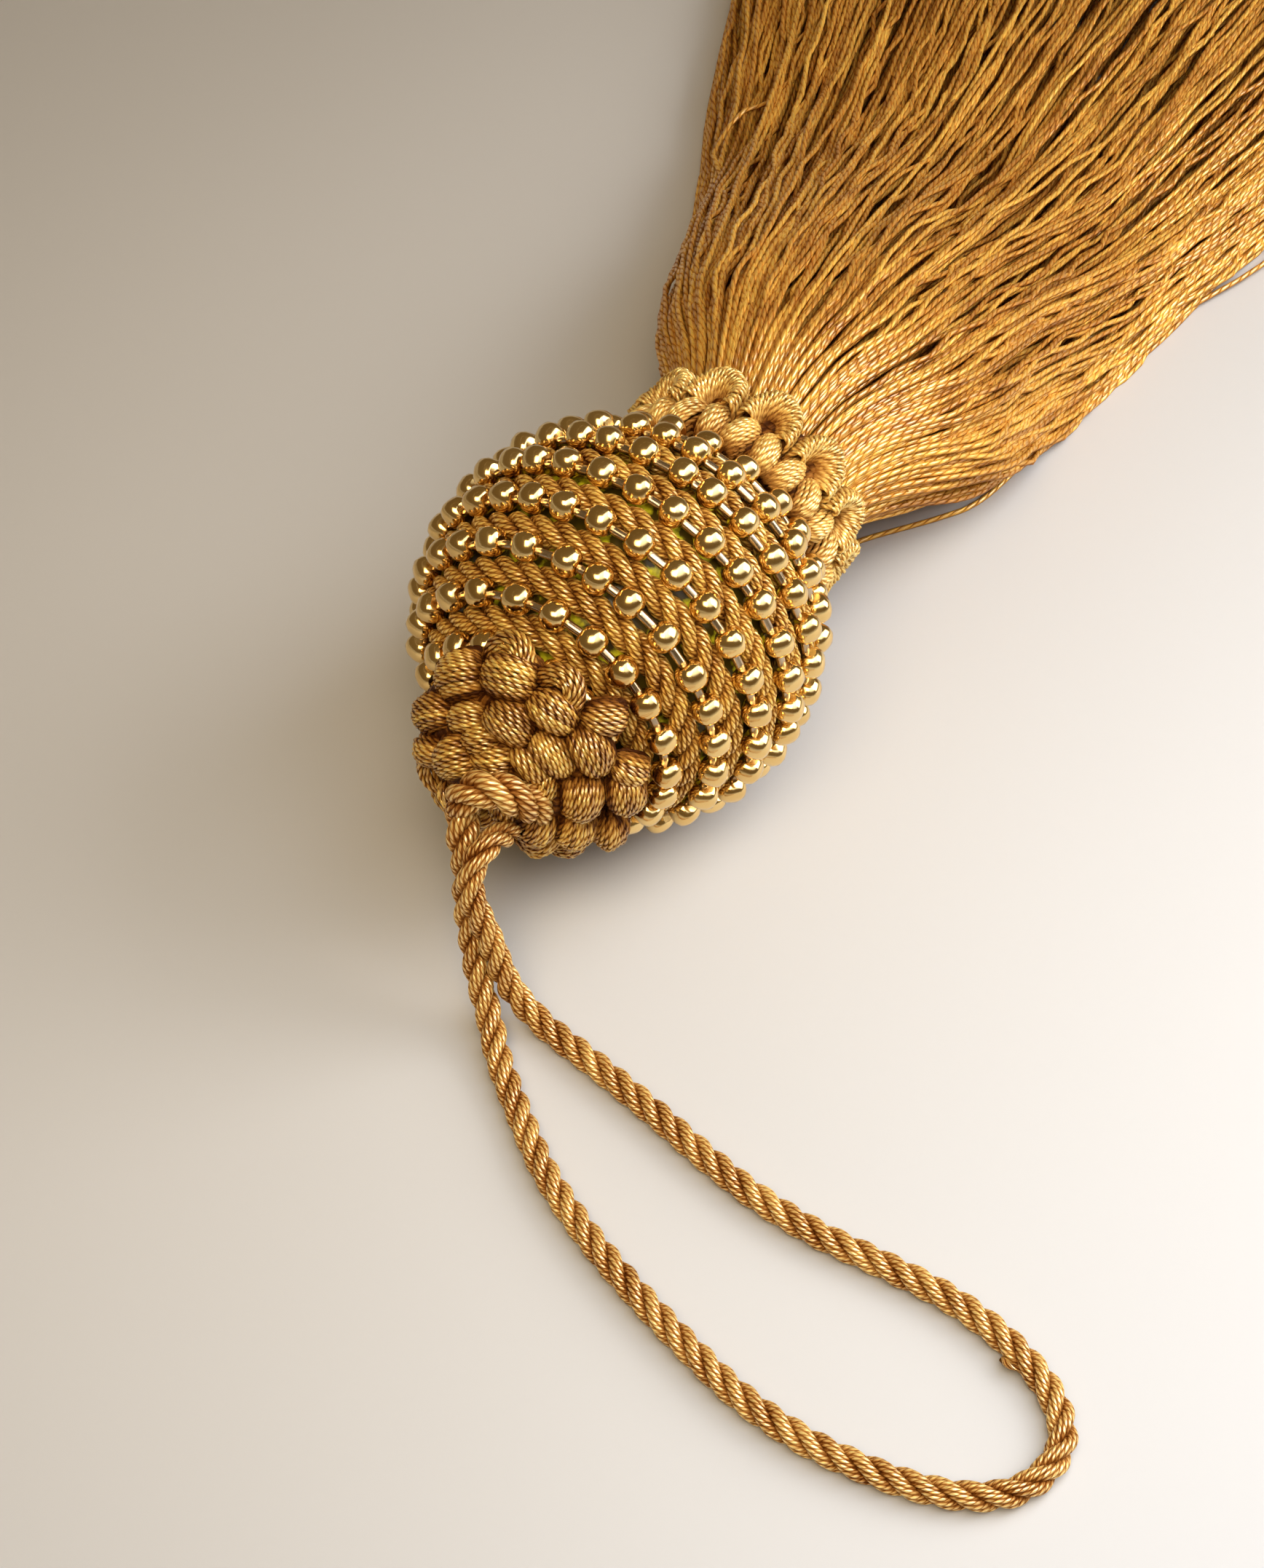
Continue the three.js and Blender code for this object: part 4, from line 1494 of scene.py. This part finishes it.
@dataclass
class Skirt:
    """The skirt's threads: they leave the collar in a round bunch, fall and spread on the floor."""

    threads: int = 820
    outer_share: float = 0.58
    skin: Span = (0.9, 1.0)
    locks: int = 72
    strays: int = 12
    layers: tuple[str, ...] = ("lower", "middle", "upper")
    tones: Span = (0.2, 0.9)
    # Painted shade: threads inside the bunch are dyed darker, down to this share, and each thread's
    # sides are darkened
    inner_shade_tone: float = 0.5
    flank_shade: float = 0.7
    dropped: tuple[Point, ...] = (
        (27.0, -7.0, 13.0), (33.0, -6.0, 7.0), (38.0, -5.2, 2.4), (44.1, -5.6, 0.5),
        (52.9, -11.7, 0.4), (58.0, -14.4, 0.4), (66.2, -15.5, 0.4), (73.0, -14.6, 0.4))
    dropped_step: float = 0.5 * MM
    thread_radius: float = 0.34 * MM
    thread_lay: float = 3.6 * MM
    sides: int = 5
    rings: int = 46
    ring_crowding: float = 1.5
    root_place: float = 28.0 * MM
    root_depth: float = 4.0 * MM
    root_radius: float = 10.9 * MM
    root_swell: float = 1.5 * MM
    swell_run: Span = (-2.0 * MM, 10.0 * MM)
    length: float = 150.0 * MM
    end_uneven: float = 3.0
    heading: float = 9.0
    spread: float = 16.5
    spread_ends: Span = (-0.87, 1.0)
    lock_turn: float = 0.5
    thread_turn: float = 1.1
    stray_turn: float = 3.5
    flare: float = 4.9 * MM
    flare_run: float = 22.0 * MM
    tuck: float = 3.0 * MM
    tuck_in: Span = (24.0 * MM, 48.0 * MM)
    tuck_out: Span = (60.0 * MM, 120.0 * MM)
    pile: Span = (11.0 * MM, 19.0 * MM)
    pile_run: float = 50.0 * MM
    fall: Span = (38.0 * MM, 84.0 * MM)
    fall_uneven: Span = (0.9, 1.1)
    loose_run: float = 45.0 * MM
    sways: tuple[tuple[int, float], ...] = ((1, 0.75 * MM), (2, 0.5 * MM))
    sway_wave: float = 90.0 * MM
    bow_waves: Span = (45.0, 110.0)
    thread_bow: float = 0.8
    stray_bow: float = 3.0
    kink: float = 0.4
    kink_run: float = 20.0 * MM
    kink_wave: float = 0.2
    seed: int = 3

    def roots(self, rng: np.random.Generator) -> tuple[Array, Array]:
        """Spread the threads' roots over the bunch, closer together on its skin.

        Args:
            rng: Source of the spread.

        Returns:
            Sideways and upward places of the roots, between -1 and 1.
        """
        angle = rng.uniform(0.0, 2 * np.pi, self.threads)
        skin = rng.uniform(0.0, 1.0, self.threads) < self.outer_share
        inner = np.sqrt(rng.uniform(0.0, 1.0, self.threads))
        reach = np.where(skin, rng.uniform(*self.skin, self.threads), inner)
        return reach * np.cos(angle), reach * np.sin(angle)

    def lines(self) -> tuple[Array, Array, Array]:
        """Work out every thread's line.

        Returns:
            The threads' ring centres, how high each root sits in the bunch and how near it is to
            the skin.
        """
        rng = np.random.default_rng(self.seed)
        beside, above = (values[:, None] for values in self.roots(rng))
        each = (self.threads, 1)
        stray = (np.arange(self.threads) < self.strays)[:, None]
        end = self.length + rng.uniform(-self.end_uneven, self.end_uneven, each) * MM
        share = np.linspace(0.0, 1.0, self.rings)[None] ** self.ring_crowding
        run = -self.root_depth + share * (end + self.root_depth)
        reach = np.maximum(run, 0.0)
        place_round = np.arctan2(above, beside) / (2 * np.pi) + 0.5
        lock = np.floor(place_round * self.locks).astype(int) % self.locks

        jitter = rng.normal(0.0, self.lock_turn, self.locks)[lock]
        jitter = jitter + rng.normal(0.0, np.where(stray, self.stray_turn, self.thread_turn), each)
        fan = np.clip(beside + jitter / self.spread, *self.spread_ends)
        heading = np.radians(self.heading + self.spread * fan)
        tuck = eased(reach, *self.tuck_in) - eased(reach, *self.tuck_out)
        flare = self.flare * eased(reach, 0.0, self.flare_run)
        flare = flare - self.tuck * tuck * np.maximum(-beside, 0.0)
        x = self.root_place + np.minimum(run, 0.0) + reach * np.cos(heading)
        y = (self.root_radius + flare) * beside + reach * np.sin(heading)

        fall_run = self.fall[0] + (self.fall[1] - self.fall[0]) * (above + 1.0) / 2
        fallen = eased(run / (fall_run * rng.uniform(*self.fall_uneven, each)), 0.0, 1.0)
        pile = self.pile[0] + self.pile[1] * np.exp(-reach / self.pile_run)
        on_pile = pile / 2 * (above + np.sqrt(1.0 - beside ** 2))
        bunch = self.root_radius + self.root_swell * eased(run, *self.swell_run)
        z = (BALL_CENTRE[2] + bunch * above) * (1.0 - fallen) + on_pile * fallen
        lines = np.stack([x, y, z], axis=-1)
        self.loosen(lines, reach, lock, stray, rng)
        lines[..., 2] = np.maximum(lines[..., 2], self.thread_radius)
        return lines, above[:, 0], np.hypot(beside, above)[:, 0]

    def loosen(self, lines: Array, reach: Array, lock: Array, stray: Array,
               rng: np.random.Generator) -> None:
        """Let the threads bow, sway with their locks and kink.

        Args:
            lines: The threads' ring centres, which are moved.
            reach: How far each ring is out of the collar.
            lock: The lock each thread belongs to.
            stray: Which threads are strays.
            rng: Source of the differences.
        """
        each = (self.threads, 1)
        loose = eased(reach, 0.0, self.loose_run)
        for axis, size in self.sways:
            wave = rng.uniform(*self.bow_waves, each) * MM
            start = rng.uniform(0.0, 2 * np.pi, each)
            bow = rng.normal(0.0, size, each) * np.where(stray, self.stray_bow, self.thread_bow)
            lines[..., axis] += bow * loose * np.sin(2 * np.pi * reach / wave + start)
            sway = rng.normal(0.0, size, self.locks)[lock]
            lines[..., axis] += sway * loose * np.sin(2 * np.pi * reach / self.sway_wave + lock)
            kink = rng.normal(0.0, self.kink * size, each) * eased(reach, 0.0, self.kink_run)
            short_wave = self.kink_wave * wave
            lines[..., axis] += kink * np.sin(2 * np.pi * reach / short_wave + 2 * start)

    def dropped_line(self) -> Array:
        """Work out the line of the thread that has dropped out on the right."""
        line = smooth_route(np.array(self.dropped) * MM, self.dropped_step)
        return line[np.linspace(0, len(line) - 1, self.rings).astype(int)]

    def build(self, material: bpy.types.Material) -> None:
        """Make the threads in layers, from the floor up.

        Args:
            material: The threads' material.
        """
        rng = np.random.default_rng(self.seed + 1)
        lines, above, skin = self.lines()
        lines[0] = self.dropped_line()
        # Painted shade: inner threads darker than those on the bunch's skin
        depth = self.inner_shade_tone + (1.0 - self.inner_shade_tone) * skin ** 2
        tones = rng.uniform(*self.tones, self.threads) * depth
        starts = rng.uniform(0.0, 1.0, self.threads)
        parts = np.array_split(np.argsort(above), len(self.layers))
        for name, layer in zip(self.layers, parts):
            centres = lines[layer]
            across, up = facing_frames(centres, np.broadcast_to(UP, centres.shape))
            turns = run_along(centres) / self.thread_lay + starts[layer][:, None]
            mesh = StrandMesh()
            mesh.add(centres, across, up, self.thread_radius, Section.round(self.sides), turns,
                     tones[layer], flank_shade=self.flank_shade)
            finish_piece(mesh.build("skirt_threads_" + name), material, "skirt_thread", "skirt")


def main() -> None:
    """Build the tassel piece by piece."""
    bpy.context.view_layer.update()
    studio = Studio()
    studio.set_camera()
    loop_material = LOOP_RAYON.material()
    loop = HangingLoop()
    loop.build(loop_material)
    ball = Ball()
    ball.build_core()
    ball.build_cord(CORD_RAYON.material())
    ball.build_chain()
    CrownBraid().build(loop, CROWN_RAYON.material(), loop_material)
    CollarBraid().build(LIT_COLLAR_RAYON.material())
    Skirt().build(SKIRT_RAYON.material())
    studio.lay_floor()
    studio.light_room()


if __name__ == "__main__":
    main()
